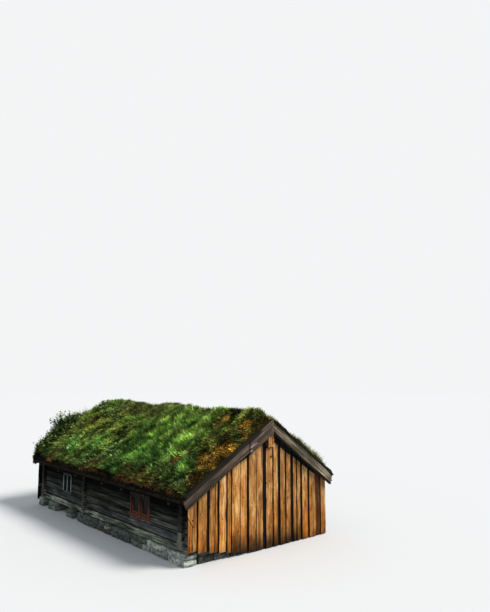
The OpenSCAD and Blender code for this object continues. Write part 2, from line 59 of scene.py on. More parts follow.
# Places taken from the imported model, in metres
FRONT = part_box("cladding_front")[0].y
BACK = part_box("cladding_back")[1].y
ROOF_LOW, ROOF_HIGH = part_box("roof_boards_left")
RIDGE_X = ROOF_HIGH.x
EAVE_X = -ROOF_LOW.x
VERGE_Y = ROOF_HIGH.y
ROOF_BOARD = 0.03
APEX_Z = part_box("verge_board_front_left")[1].z
BOARDS_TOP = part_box("roof_boards_left")[1].z - APEX_Z
FALL_LEFT = (ROOF_HIGH.z - ROOF_BOARD - ROOF_LOW.z) / (EAVE_X + RIDGE_X)
FALL_RIGHT = FALL_LEFT * (EAVE_X + RIDGE_X) / (EAVE_X - RIDGE_X)
LEFT, RIGHT = -1, 1
SIDES = ((LEFT, "left"), (RIGHT, "right"))
ENDS = {"front": -1, "back": 1}
LOG_H = 0.2
LOG_T = 0.16
SILL_T = 0.23
WALL_MID = 2.3
STONE_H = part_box("sill_left")[0].z
WALL_COURSES = 6
RAFTER_ROOM = 0.125
HEAD_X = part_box("sill_front")[1].x
HEAD_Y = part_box("sill_left")[1].y
GABLE_MID = 0.38
GABLE_Z = STONE_H + LOG_H / 2
CROSS_Y = FRONT + 5.88
LINING = -BOARDS_TOP + ROOF_BOARD
X_WAY, Y_WAY, Z_WAY = (1, 0, 0), (0, 1, 0), (0, 0, 1)
PLAIN = (1, 1, 1)

# Seeds of the random draws, one for each group of pieces
ROOF_SEED, CLADDING_SEED, WALL_SEED, GABLE_SEED, CROSS_SEED = 4, 11, 21, 31, 37
LONG_STONE_SEED, GABLE_STONE_SEED, BOARD_SEED = 41, 45, 51


def run(side):
    """Level width of the roof on one side of the ridge."""
    return EAVE_X - side * RIDGE_X


def fall(side):
    return FALL_LEFT if side == LEFT else FALL_RIGHT


def roof_z(x):
    """Height of the verge boards' top at x."""
    x = np.asarray(x, float)
    return APEX_Z - np.abs(x - RIDGE_X) * np.where(x < RIDGE_X, FALL_LEFT, FALL_RIGHT)


# Odd factors and masks that scatter the noise's whole-number cells
SCATTER = (374761393, 668265263, 1440662683)
SCATTER_SEED = 1274126177
MASK, LOW_MASK = 0xFFFFFFFF, 0xFFFFFF


def lattice(i, j, k, seed):
    """A value from 0 to 1 for each cell, the same on every run."""
    h = (i * SCATTER[0] + j * SCATTER[1] + k * SCATTER[2] + seed * SCATTER_SEED) & MASK
    h = ((h ^ (h >> 13)) * SCATTER_SEED) & MASK
    return ((h ^ (h >> 16)) & LOW_MASK) / LOW_MASK


def noise(points, size, seed=0):
    """Smooth noise from -1 to 1 with cells of the given size, one value a point."""
    p = np.asarray(points, float) / size
    cell = np.floor(p).astype(np.int64)
    f = p - cell
    f = f * f * (3 - 2 * f)
    total = np.zeros(len(p))
    for a in (0, 1):
        for b in (0, 1):
            for c in (0, 1):
                w = (f[:, 0] if a else 1 - f[:, 0]) * (f[:, 1] if b else 1 - f[:, 1])
                w = w * (f[:, 2] if c else 1 - f[:, 2])
                total += w * lattice(cell[:, 0] + a, cell[:, 1] + b, cell[:, 2] + c, seed)
    return total * 2 - 1


def fractal(points, size, octaves=3, seed=0):
    """Noise summed over octaves, each half the size and half the strength of the one before."""
    total = np.zeros(len(points))
    for n in range(octaves):
        total += noise(points, size / 2 ** n, seed + 17 * n) / 2 ** n
    return total / (2 - 2 ** (1 - octaves))


def flat_noise(x, y, size, octaves=2, seed=0):
    """Noise over the two coordinates of a surface."""
    x = np.asarray(x, float)
    y = np.broadcast_to(np.asarray(y, float), x.shape)
    points = np.stack([x, y, np.zeros_like(x)], -1).reshape(-1, 3)
    return fractal(points, size, octaves, seed).reshape(x.shape)


def smooth(low, high, value):
    """From 0 at low to 1 at high, with soft ends; low may be the greater."""
    t = np.clip((np.asarray(value, float) - low) / (high - low), 0, 1)
    return t * t * (3 - 2 * t)


def blend(first, second, share):
    """Colours between two, by a share at each point."""
    share = np.asarray(share, float)[..., None]
    return np.asarray(first) * (1 - share) + np.asarray(second) * share


def middle_of(node):
    """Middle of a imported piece's box: across, along and up."""
    low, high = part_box(node)
    return [(a + b) / 2 for a, b in zip(low, high)]


def new_object(name, data):
    obj = bpy.data.objects.new(name, data)
    bpy.context.collection.objects.link(obj)
    return obj


class Pile:
    """Collects many small meshes with a tint at each point, and makes them one piece."""

    def __init__(self):
        self.points, self.faces, self.tints, self.slots = [], [], [], []
        self.count = 0

    def add(self, points, faces, tint=PLAIN, slot=0, reach=None):
        """The tint's fourth value is a distance in metres, which end grain takes its rings from."""
        points = np.asarray(points, float)
        full = np.ones((len(points), 4))
        full[:, :3] = tint
        if reach is not None:
            full[:, 3] = reach
        self.points.append(points)
        self.tints.append(full)
        for group in (faces if isinstance(faces, list) else [faces]):
            group = np.asarray(group, np.int64)
            self.faces.append(group + self.count)
            self.slots.append(np.full(len(group), slot, np.int32))
        self.count += len(points)

    def piece(self, name, materials, replaces=(), flat=False, body="root"):
        mesh = bpy.data.meshes.new(name)
        points = np.concatenate(self.points).astype(np.float32)
        corners = np.concatenate([f.ravel() for f in self.faces]).astype(np.int32)
        sizes = np.concatenate([np.full(len(f), f.shape[1]) for f in self.faces]).astype(np.int32)
        starts = np.concatenate([[0], np.cumsum(sizes)[:-1]]).astype(np.int32)
        mesh.vertices.add(len(points))
        mesh.loops.add(len(corners))
        mesh.polygons.add(len(sizes))
        mesh.vertices.foreach_set("co", points.ravel())
        mesh.loops.foreach_set("vertex_index", corners)
        for field, values in (("loop_start", starts), ("loop_total", sizes),
                              ("material_index", np.concatenate(self.slots)),
                              ("use_smooth", np.full(len(sizes), not flat))):
            mesh.polygons.foreach_set(field, values)
        for m in materials:
            mesh.materials.append(m)
        layer = mesh.color_attributes.new("tint", "FLOAT_COLOR", "POINT")
        layer.data.foreach_set("color", np.concatenate(self.tints).astype(np.float32).ravel())
        mesh.update(calc_edges=True)
        obj = new_object(name, mesh)
        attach(obj, body)
        if replaces:
            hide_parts(*replaces)


def grid_faces(rows, cols, turned=False):
    """Quads of a grid whose point (r, c) has the number r * cols + c."""
    r, c = np.meshgrid(np.arange(rows - 1), np.arange(cols - 1), indexing="ij")
    a = (r * cols + c).ravel()
    quads = np.stack([a, a + 1, a + cols + 1, a + cols], 1)
    return quads[:, ::-1] if turned else quads


def fan(corners):
    """Triangles round a middle point, which comes after the corners."""
    rim = np.arange(corners)
    return np.stack([np.full(corners, corners), rim, (rim + 1) % corners], 1)


def loft(pile, rings, tint=PLAIN, end_slot=0, end_tint=None):
    """A skin over rings of points with a fan at each end; the tint is one colour or one for each point."""
    rings = np.asarray(rings, float)
    n, k = rings.shape[:2]
    tints = np.broadcast_to(np.asarray(tint, float), (n, k, 3))
    middle = rings.mean(axis=1)
    first = rings[0] - middle[0]
    normal = np.cross(first, np.roll(first, -1, axis=0)).sum(axis=0)
    turned = normal @ (middle[-1] - middle[0]) < 0
    i, j = np.meshgrid(np.arange(n - 1), np.arange(k), indexing="ij")
    a, b = (i * k + j).ravel(), (i * k + (j + 1) % k).ravel()
    quads = np.stack([a, b, b + k, a + k], 1)
    pile.add(rings.reshape(-1, 3), quads[:, ::-1] if turned else quads, tints.reshape(-1, 3))
    for end in (0, n - 1):
        reach = np.linalg.norm(rings[end] - middle[end], axis=1)
        points = np.concatenate([rings[end], middle[end:end + 1]])
        colours = np.concatenate([tints[end], tints[end][:1]]) if end_tint is None else end_tint
        flip = turned != (end == 0)
        pile.add(points, fan(k)[:, ::-1] if flip else fan(k), colours, end_slot, np.append(reach, 0))


def section(width, height, bevel, extra):
    """Outline of a bevelled bar, with extra points along each face."""
    w, h, b = width / 2, height / 2, bevel
    corners = [(w, -h + b), (w, h - b), (w - b, h), (-w + b, h),
               (-w, h - b), (-w, -h + b), (-w + b, -h), (w - b, -h)]
    points = []
    for n, p in enumerate(corners):
        points.append(p)
        q = corners[(n + 1) % len(corners)]
        for m in range(extra if n % 2 == 0 else 0):
            t = (m + 1) / (extra + 1)
            points.append((p[0] + (q[0] - p[0]) * t, p[1] + (q[1] - p[1]) * t))
    return np.array(points)


# Counts the rough parts, so that each gets noise of its own
SEED = [0]


def uneven(parts, shape, shift, octaves):
    """Noise over three coordinates, different for each part that asks for it."""
    SEED[0] += 1
    local = np.stack([np.broadcast_to(part, shape) for part in parts], -1).reshape(-1, 3)
    return fractal(local + SEED[0] * shift, 1.0, octaves, SEED[0]).reshape(shape)


# Length over which a long bar bends to and fro
BEND_LENGTH = 1.6


def bar(pile, start, end, across, up, outline, steps, rough, bow=0.0, tint=PLAIN, end_slot=0, end_tint=None,
        grain=(0.35, 0.06), taper=None, slant=0.0):
    """A rough bar from start to end; the outline is turned to the two directions given.

    The slant moves the upper edge of the end cut on, and the lower edge back.
    """
    start, end = np.asarray(start, float), np.asarray(end, float)
    across, up = np.asarray(across, float), np.asarray(up, float)
    t = np.linspace(0, 1, steps)
    length = np.linalg.norm(end - start)
    centre = start + (end - start) * t[:, None]
    scale = np.ones(steps) if taper is None else np.asarray(taper(t))
    flat = outline[None] * scale[:, None, None]
    parts = [(t * length / grain[0])[:, None], flat[..., 0] / grain[1], flat[..., 1] / grain[1]]
    push = uneven(parts, flat.shape[:2], 7.3, 2)
    radius = np.maximum(np.linalg.norm(outline, axis=1), 1e-6)
    flat = flat + (outline / radius[:, None])[None] * (push * rough)[..., None]
    if bow:
        lanes = [np.stack([t * length / BEND_LENGTH, t * 0 + lane, t * 0], 1) + SEED[0] * shift
                 for lane, shift in ((0, 3.1), (9, 5.7))]
        bend = np.stack([fractal(lane, 1.0, 1, SEED[0]) for lane in lanes], 1)
        flat = flat + (bend * bow)[:, None, :]
    rings = centre[:, None] + flat[..., :1] * across + flat[..., 1:] * up
    rings[-1] += (end - start) / length * slant * outline[:, 1:]
    loft(pile, rings, tint, end_slot, end_tint)


def sliver(pile, first, second, y, turned, tint):
    """A thin strip between two lines, each given as places across and heights, on a face at y."""
    rows = np.stack([np.stack([x, np.full(len(x), y), z], 1) for x, z in (first, second)], 1)
    pile.add(rows.reshape(-1, 3), grid_faces(len(rows), 2, turned=turned), tint)


# Narrower leftovers beside an opening are dropped
LEAST_WIDTH = 0.012


def cut_out(rects, holes):
    """Takes rectangular holes out of rectangles (u0, u1, v0, v1)."""
    for h in holes:
        kept = []
        for r in rects:
            u0, u1 = max(r[0], h[0]), min(r[1], h[1])
            v0, v1 = max(r[2], h[2]), min(r[3], h[3])
            if u0 >= u1 or v0 >= v1:
                kept.append(r)
                continue
            kept += [(r[0], u0, r[2], r[3]), (u1, r[1], r[2], r[3])]
            kept += [(u0, u1, r[2], v0), (u0, u1, v1, r[3])]
        rects = [r for r in kept if r[1] - r[0] > LEAST_WIDTH and r[3] - r[2] > LEAST_WIDTH]
    return rects


# Materials
class Shader:
    """A Principled material built from named steps."""

    def __init__(self, name, roughness=0.9, specular=0.12):
        self.material = bpy.data.materials.new(name)
        self.material.use_nodes = True
        self.tree = self.material.node_tree
        self.surface = self.tree.nodes["Principled BSDF"]
        self.surface.inputs["Roughness"].default_value = roughness
        self.surface.inputs["Specular IOR Level"].default_value = specular
        self.place = self.tree.nodes.new("ShaderNodeTexCoord").outputs["Object"]

    def link(self, value, socket):
        if isinstance(value, bpy.types.NodeSocket):
            self.tree.links.new(value, socket)
        else:
            socket.default_value = value

    def add(self, kind, values, output=0, **settings):
        node = self.tree.nodes.new("ShaderNode" + kind)
        for key, value in settings.items():
            setattr(node, key, value)
        for key, value in values.items():
            self.link(value, node.inputs[key])
        return node.outputs[output]

    def stretched(self, stretch):
        return self.add("Mapping", {"Vector": self.place, "Scale": stretch})

    def turn(self, angle):
        """Turns the material's own coordinates about Y, for boards that lie on the roof's slope."""
        self.place = self.add("Mapping", {"Vector": self.place, "Rotation": (0, angle, 0)})

    def noise(self, scale, stretch=PLAIN, detail=4.0, twist=0.0, rough=0.55):
        return self.add("TexNoise", {"Vector": self.stretched(stretch), "Scale": scale, "Detail": detail,
                                     "Distortion": twist, "Roughness": rough}, "Fac")

    def cells(self, scale, stretch):
        return self.add("TexVoronoi", {"Vector": self.stretched(stretch), "Scale": scale}, "Distance")

    def ramp(self, value, stops):
        node = self.tree.nodes.new("ShaderNodeValToRGB")
        while len(node.color_ramp.elements) < len(stops):
            node.color_ramp.elements.new(0.5)
        for element, (place, colour) in zip(node.color_ramp.elements, stops):
            element.position = place
            grey = (colour, colour, colour) if isinstance(colour, (int, float)) else colour
            element.color = (*grey, 1)
        self.link(value, node.inputs["Fac"])
        return node.outputs["Color"]

    def mix(self, share, first, second, kind="MIX"):
        node = self.tree.nodes.new("ShaderNodeMix")
        node.data_type = "RGBA"
        node.blend_type = kind
        self.link(share, node.inputs["Factor"])
        for value, name in ((first, "A"), (second, "B")):
            socket = [s for s in node.inputs if s.name == name and s.type == "RGBA"][0]
            self.link((*value, 1) if isinstance(value, tuple) and len(value) == 3 else value, socket)
        return [s for s in node.outputs if s.type == "RGBA"][0]

    def math(self, kind, first, second=0.0):
        node = self.tree.nodes.new("ShaderNodeMath")
        node.operation = kind
        self.link(first, node.inputs[0])
        self.link(second, node.inputs[1])
        return node.outputs[0]

    def total(self, *parts):
        """The sum of some values, each given with its weight."""
        value, weight = parts[0]
        first = value if weight == 1 else self.math("MULTIPLY", value, weight)
        return first if len(parts) == 1 else self.math("ADD", first, self.total(*parts[1:]))

    def times(self, colour, other, share=1.0):
        return self.mix(share, colour, other, "MULTIPLY")

    def tint(self, output="Color"):
        return self.add("VertexColor", {}, output, layer_name="tint")

    def finish(self, colour, relief=None, depth=0.005, strength=1.0, tinted=True):
        """Lays the colour, times the tint of the points, and the relief on the surface."""
        self.link(self.times(colour, self.tint()) if tinted else colour, self.surface.inputs["Base Color"])
        if relief is not None:
            bump = self.add("Bump", {"Height": relief, "Distance": depth, "Strength": strength}, "Normal")
            self.link(bump, self.surface.inputs["Normal"])
        return self.material


def fibre(along, share):
    """Stretch of a noise whose cells are longer along one axis."""
    return tuple(share if axis == along else 1.0 for axis in "xyz")


def wood(name, along, dark, mid, light, grain=38.0, tinted=True, crack=0.5, knots=0.0, turn=0.0, stain=0.0):
    """Rough wood whose fibres run along one axis, with checks, knots and stains as asked."""
    s = Shader(name, 0.85)
    if turn:
        s.turn(turn)
    slow = fibre(along, 0.3)
    fibres = s.noise(grain, fibre(along, 0.05), 6.0, 0.8, 0.65)
    broad = s.noise(4.0, slow, detail=4.0)
    colour = s.ramp(s.total((fibres, 0.6), (broad, 0.4)), [(0.36, dark), (0.5, mid), (0.64, light)])
    checks = s.noise(grain * 1.3, fibre(along, 0.02), 2.0, 0.3)
    open_checks = s.ramp(checks, [(0.3, 0.0), (0.37, 1.0)])
    colour = s.times(colour, open_checks, crack)
    if knots:
        spots = s.cells(5.2, fibre(along, 0.45))
        colour = s.times(colour, s.ramp(spots, [(0.045, 0.25), (0.075, 0.55), (0.1, 1.0)]), knots)
    if stain:
        run_down = s.noise(9.0, slow, 5.0, 1.5)
        colour = s.times(colour, s.ramp(run_down, [(0.42, 1.0), (0.6, (0.45, 0.4, 0.36))]), stain)
    return s.finish(colour, s.total((fibres, 0.6), (open_checks, 1)), 0.004, 0.7, tinted)


def hewn(name, along, dark, mid, light, moss=0.0):
    """An axed log, grey with weather: pale ribs of hard grain between dark checks."""
    s = Shader(name, 0.92, 0.03)
    ribs = s.noise(17.0, fibre(along, 0.07), 5.0, 0.7, 0.6)
    fibres = s.noise(60.0, fibre(along, 0.05), 5.0, 0.6, 0.65)
    blots = s.noise(3.2, fibre(along, 0.4), 5.0, rough=0.6)
    shade = s.total((ribs, 0.55), (fibres, 0.2), (blots, 0.25))
    colour = s.ramp(shade, [(0.4, dark), (0.5, mid), (0.61, light)])
    checks = s.noise(22.0, fibre(along, 0.015), 3.0, 0.4)
    open_checks = s.ramp(checks, [(0.36, 0.0), (0.43, 1.0)])
    colour = s.times(colour, open_checks, 0.8)
    if moss:
        where = s.ramp(s.noise(7.0, detail=6.0), [(0.5, 0.0), (0.62, 1.0)])
        colour = s.mix(s.total((where, moss)), colour, (0.035, 0.045, 0.014))
    return s.finish(colour, s.total((ribs, 0.8), (open_checks, 1)), 0.012, 0.8)


def end_grain(name, dark, light):
    """The sawn or hewn end of a log: rings round the heart."""
    s = Shader(name, 0.9)
    place = s.total((s.tint("Alpha"), 1), (s.noise(22.0), 0.014))
    rings = s.math("SINE", s.math("MULTIPLY", place, 700.0))
    colour = s.ramp(s.math("ADD", s.math("MULTIPLY", rings, 0.25), 0.5), [(0.25, dark), (0.75, light)])
    colour = s.times(colour, s.ramp(s.noise(14.0, detail=5.0), [(0.38, 0.45), (0.6, 1.1)]), 0.7)
    return s.finish(colour, rings, 0.002, 0.5)


def leaf_stuff(name):
    """Grass and leaves: the tint carries the colour, and patches vary it over the roof."""
    s = Shader(name, 0.75, 0.1)
    stops = [(0.32, (0.7, 0.76, 0.7)), (0.5, 1.0), (0.68, (1.2, 1.16, 1.0))]
    return s.finish(s.times(s.tint(), s.ramp(s.noise(2.2, detail=5.0), stops)), tinted=False)


def soil_stuff():
    """Earth and moss between the blades: the tint makes it brown or green."""
    s = Shader("sod_soil", 0.95, 0.04)
    lumps = s.noise(9.0, detail=8.0, rough=0.7)
    grains = s.noise(55.0, detail=6.0, rough=0.7)
    stops = [(0.3, (0.012, 0.012, 0.006)), (0.5, (0.03, 0.035, 0.011)), (0.7, (0.06, 0.075, 0.018))]
    colour = s.times(s.ramp(lumps, stops), s.ramp(grains, [(0.3, 0.45), (0.7, 1.5)]))
    return s.finish(colour, s.total((lumps, 1), (grains, 0.4)), 0.02)


def stone_stuff():
    """Grey stone with pale lichen."""
    s = Shader("lichen_stone", 0.9)
    broad = s.noise(6.0, (1, 1, 2.5), detail=8.0, rough=0.65)
    stops = [(0.35, (0.035, 0.038, 0.036)), (0.5, (0.095, 0.1, 0.092)), (0.66, (0.2, 0.21, 0.19))]
    lichen = s.ramp(s.noise(19.0, detail=6.0, rough=0.7), [(0.52, 0.0), (0.6, 1.0)])
    colour = s.mix(s.total((lichen, 0.55)), s.ramp(broad, stops), (0.27, 0.3, 0.26))
    grains = s.noise(120.0, detail=4.0)
    colour = s.times(colour, s.ramp(grains, [(0.35, 0.55), (0.65, 1.25)]), 0.6)
    return s.finish(colour, s.total((broad, 1), (grains, 0.25)), 0.02, 0.8)


def paint_stuff(name, paint, worn, wood_colour):
    """Old paint, thin along the grain and gone in places."""
    s = Shader(name, 0.7)
    grain = s.noise(45.0, fibre("z", 0.05), detail=5.0, twist=0.6)
    gone = s.ramp(s.total((grain, 0.5), (s.noise(9.0, detail=6.0), 0.5)), [(0.5, 0.0), (0.58, 1.0)])
    colour = s.ramp(s.noise(16.0, detail=5.0), [(0.35, worn), (0.6, paint)])
    return s.finish(s.mix(s.total((gone, 0.75)), colour, wood_colour), grain, 0.002, 0.7)


def bark_stuff():
    """Birch bark with thin dark lines."""
    s = Shader("birch_bark", 0.85, 0.03)
    lines = s.noise(60.0, (1, 0.08, 1), detail=3.0)
    stops = [(0.35, (0.09, 0.055, 0.03)), (0.55, (0.26, 0.2, 0.14)), (0.7, (0.4, 0.36, 0.3))]
    colour = s.times(s.ramp(s.noise(8.0, detail=5.0), stops), s.ramp(lines, [(0.34, 0.2), (0.42, 1.0)]), 0.8)
    return s.finish(colour, lines, 0.002)


def glass_stuff():
    """Old wavy glass, painted near black as the shade of the room behind it."""
    s = Shader("old_glass", 0.3, 0.03)
    s.surface.inputs["IOR"].default_value = 1.45
    colour = s.ramp(s.noise(14.0, detail=5.0), [(0.35, (0.002, 0.003, 0.003)), (0.6, (0.012, 0.016, 0.014))])
    return s.finish(colour, s.noise(7.0, detail=2.0), 0.004, 0.3, tinted=False)


# The sod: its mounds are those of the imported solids, and the fine relief is added here
VERGE_START = 0.12
VERGE_RISE = 0.2
TABLE_STEP = 0.06
SKY = 9.0
TOP_LIMIT = cad_box[1][2] + 0.112
SIDE_LIMIT = cad_box[1][0] + 0.15
RAGGED = 0.11
# The sod's skin bends down over the eave log this far before the bark's edge
LIP_START = 0.13


def sod_table(side):
    """Height of the solid sod over the verge boards' line, by distance from the ridge and along it."""
    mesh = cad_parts["turf_left" if side == LEFT else "turf_right"].data
    tree = BVHTree.FromPolygons([v.co for v in mesh.vertices], [p.vertices for p in mesh.polygons])
    downs = np.arange(0, run(side) + TABLE_STEP, TABLE_STEP)
    ys = np.linspace(-VERGE_Y, VERGE_Y, int(2 * VERGE_Y / TABLE_STEP))
    table = np.zeros((len(downs), len(ys)))
    for j, y in enumerate(ys):
        y = min(max(y, -VERGE_Y + 0.002), VERGE_Y - 0.002)
        last = 0.0
        for i, down in enumerate(downs):
            x = RIDGE_X + side * max(down, 0.002)
            hit = tree.ray_cast(Vector((x, y, SKY)), Vector((0, 0, -1)))[0]
            if hit is not None:
                last = hit.z - float(roof_z(x))
            table[i, j] = last
    inner = table.copy()
    around = table[:-2, 1:-1] + table[2:, 1:-1] + table[1:-1, :-2] + table[1:-1, 2:]
    inner[1:-1, 1:-1] = (around + 2 * table[1:-1, 1:-1]) / 6
    return inner


SOD_TABLE = {}


def sod_rise(side, down, y):
    """Height of the sod over the verge boards' line, down the slope and along the ridge."""
    down, y = np.broadcast_arrays(np.asarray(down, float), np.asarray(y, float))
    if side not in SOD_TABLE:
        SOD_TABLE[side] = sod_table(side)
    table = SOD_TABLE[side]
    a = np.clip(down / TABLE_STEP, 0, table.shape[0] - 1.001)
    b = np.clip((y + VERGE_Y) / (2 * VERGE_Y) * (table.shape[1] - 1), 0, table.shape[1] - 1.001)
    i, j = a.astype(int), b.astype(int)
    a, b = a - i, b - j
    near = table[i, j] * (1 - a) + table[i + 1, j] * a
    far = table[i, j + 1] * (1 - a) + table[i + 1, j + 1] * a
    body = near * (1 - b) + far * b
    x = RIDGE_X + side * down
    fine = 0.042 * flat_noise(x, y, 0.26, 2, 5) + 0.02 * flat_noise(x, y, 0.1, 2, 9)
    return body + fine * smooth(0, VERGE_RISE, VERGE_Y - np.abs(y) - VERGE_START)


def sod_point(side, down, y, lift=0.0):
    """Places on the sod's surface."""
    x = RIDGE_X + side * np.asarray(down, float)
    return np.stack([x, np.broadcast_to(y, x.shape), roof_z(x) + sod_rise(side, down, y) + lift], -1)


# Patches on the left slope: place across, place along and radius
MOSS_SPOTS = [
    (-0.52, -4.72, 0.2), (-0.25, -4.4, 0.22), (0.0, -4.75, 0.2), (-0.28, -3.38, 0.3), (-0.86, -4.75, 0.12),
    (-1.14, -4.7, 0.3), (-1.2, -4.48, 0.26), (-1.6, -4.3, 0.24), (-1.68, -4.66, 0.26), (-1.5, -4.05, 0.2),
    (-1.86, -3.3, 0.22), (-0.93, 3.46, 0.26), (-1.75, -0.53, 0.1), (-2.15, -4.7, 0.24), (-0.1, 1.0, 0.2)]
BROWN_SPOTS = [
    (-2.6, 3.15, 0.32), (-2.62, -0.02, 0.3), (-2.62, 0.58, 0.3), (-2.6, -1.82, 0.3), (-2.62, -2.5, 0.34),
    (-2.64, -3.1, 0.34), (-2.64, -3.6, 0.2), (-2.66, -4.24, 0.2), (-1.9, -3.4, 0.12)]
LUSH_SPOTS = [
    (-1.19, -2.69, 0.4), (-0.74, -1.01, 0.55), (-0.74, -2.48, 0.5), (-2.03, -4.1, 0.3), (-1.96, -3.67, 0.3),
    (-0.64, 0.85, 0.24), (-0.18, 3.45, 0.4), (-0.76, 4.27, 0.3), (-0.7, 1.49, 0.24), (-1.79, 1.33, 0.4),
    (-2.0, 2.98, 0.26), (-2.27, 2.54, 0.24), (-1.0, -3.3, 0.3), (-1.75, -1.5, 0.4)]
DARK_SPOTS = [
    (-0.62, -4.45, 0.2), (-0.88, -4.4, 0.22), (-0.84, -3.78, 0.26), (0.05, -3.64, 0.2), (0.07, -4.3, 0.16),
    (-0.5, -3.8, 0.22), (-2.37, -4.3, 0.34), (-2.24, -4.6, 0.3), (-1.45, -4.75, 0.16), (-1.22, 2.09, 0.36),
    (-1.87, 4.2, 0.3), (-1.2, 0.87, 0.24), (-0.13, 1.9, 0.3), (0.02, 1.3, 0.24), (-1.42, 0.46, 0.22),
    (-2.37, -3.83, 0.3), (-2.5, -3.0, 0.3), (-2.33, -3.14, 0.3), (-2.45, -2.1, 0.26), (-2.5, 1.7, 0.3)]
RIM_WIDTH = 0.14


def spot_share(spots, x, y):
    """From 0 to 1: how far points lie inside the ragged outlines of some patches."""
    x, y = np.broadcast_arrays(np.asarray(x, float), np.asarray(y, float))
    ragged = 0.42 * flat_noise(x, y, 0.16, 3, 87)
    share = np.zeros(x.shape)
    for sx, sy, radius in spots:
        away = np.hypot(x - sx, y - sy) / radius + ragged
        share = np.maximum(share, smooth(1.25, 0.75, away))
    return share


def moss_share(x, y, side):
    """Orange-brown moss behind the front verge, and in patches elsewhere."""
    if side == RIGHT:
        strip = smooth(0.65, 0.05, y + VERGE_Y + 0.42 * flat_noise(x, y, 0.7, 3, 51))
        return np.clip(strip + 0.75 * smooth(0.3, 0.55, flat_noise(x, y, 0.8, 3, 57)), 0, 1)
    strip = smooth(1.0, 0.5, y + VERGE_Y + 0.3 * flat_noise(x, y, 0.5, 3, 51))
    specks = strip * smooth(0.0, 0.3, flat_noise(x, y, 0.16, 2, 59)) * 0.75
    return np.maximum(spot_share(MOSS_SPOTS, x, y), specks)


def edge_share(x, y, side):
    """Dry brown growth along the eave."""
    if side == LEFT:
        return spot_share(BROWN_SPOTS, x, y)
    out = side * (np.asarray(x) - RIDGE_X)
    return 0.7 * smooth(run(side) - 0.42, run(side) - 0.1, out + 0.22 * flat_noise(y, x * 0, 0.6, 2, 3))


def lush_share(x, y, side):
    """Tall fresh grass over the front half of the left slope, and in patches elsewhere."""
    along = np.asarray(y) - FRONT
    middle = smooth(1.3, 1.9, along) * smooth(5.4, 3.8, along) if side == LEFT else 0.4
    share = middle + 0.5 * flat_noise(x, y, 1.1, 2, 71)
    if side == LEFT:
        share = share + 0.9 * spot_share(LUSH_SPOTS, x, y)
    return np.clip(share, 0, 1)


def sod_shade(x, y, side):
    """Light and dark of the growth: crevices between clumps, hollows, the rim at the verge and the eave."""
    clumps = 0.4 + 0.84 * smooth(-0.32, 0.28, flat_noise(x, y, 0.21, 2, 83))
    shade = clumps * (1 + 0.3 * flat_noise(x, y, 0.6, 2, 85))
    low = side * (x - RIDGE_X) / run(side)
    shade = shade * (1 - 0.1 * smooth(0.62, 0.95, low)) * (1 - 0.3 * smooth(0.93, 1.0, low))
    if side == LEFT:
        shade = shade * (1 - 0.62 * spot_share(DARK_SPOTS, x, y)) * (1 + 0.1 * spot_share(LUSH_SPOTS, x, y))
        rim = smooth(RIM_WIDTH, RIM_WIDTH - 0.09, y + VERGE_Y)
        shade = shade * (1 - 0.5 * rim)
    return shade


# The lower half of the slope is damper and greener
DAMP = (1.02, 1.2, 1.35)
LIP_REACH = 0.11
LIP_DROP = 0.06
# Points of the sod's skin down the slope, round the lip and along the ridge
SKIN_STEPS = {LEFT: (66, 8, 200), RIGHT: (50, 7, 150)}
# Pieces of grass on each side, and tufts in each
GRASS = {LEFT: (3, 3000), RIGHT: (2, 2200)}
BLADES_A_TUFT = 16
HANGING = {LEFT: 6400, RIGHT: 4200}
FRINGE_BLADES = 2800
# Roots stand this deep in the sod
ROOT_DEPTH = 0.012


def sod_side(name, node, side, material):
    """The sod's skin from the ridge down over the eave log, and in under it."""
    top_steps, lip_steps, along = SKIN_STEPS[side]
    slope = np.linspace(0, run(side) - LIP_START, top_steps)
    rows = []
    for y in np.linspace(-VERGE_Y, VERGE_Y, along):
        top = sod_point(side, slope, y)
        last = top[-1]
        ragged = flat_noise(np.array([y]), 0.0, 0.4, 3, 31 + side)[0]
        inner = smooth(0.02, 0.3, VERGE_Y - abs(y))
        reach = (LIP_REACH + 0.05 * ragged) * (0.35 + 0.65 * inner)
        drop = LIP_DROP + 0.04 * ragged
        angle = np.linspace(0.15, 1.0, lip_steps) * math.pi * 0.8
        lip_x = last[0] + side * reach * np.sin(angle)
        lip_z = last[2] - drop * (1 - np.cos(angle)) * 0.62
        rows.append(np.concatenate([top, np.stack([lip_x, np.full(lip_steps, y), lip_z], 1)]))
    cols = top_steps + lip_steps
    points = np.concatenate(rows)
    inside = np.abs(points[:, 1]) < VERGE_Y - VERGE_START
    points[:, 2] = np.minimum(points[:, 2] + 0.012 * fractal(points, 0.07, 2, 77) * inside, TOP_LIMIT)
    shade = 0.85 + 0.35 * fractal(points, 0.4, 3, 41)
    moss = moss_share(points[:, 0], points[:, 1], side)
    edge = edge_share(points[:, 0], points[:, 1], side)
    tint = shade[:, None] * blend((1.0, 1.15, 0.8), (3.0, 1.5, 0.5), moss)
    tint = tint * blend(PLAIN, (1.8, 0.95, 0.5), edge)
    tint = tint * sod_shade(points[:, 0], points[:, 1], side)[:, None]
    pile = Pile()
    pile.add(points, grid_faces(along, cols, turned=side == RIGHT), tint)
    for end in (0, along - 1):
        rim = points[end * cols:end * cols + top_steps]
        foot = rim.copy()
        foot[:, 2] = roof_z(foot[:, 0]) + BOARDS_TOP + 0.012
        strip = np.concatenate([rim, foot])
        pile.add(strip, grid_faces(2, top_steps, turned=(end == 0) == (side == LEFT)), (0.4, 0.3, 0.28))
    pile.piece(name, [material], [node])


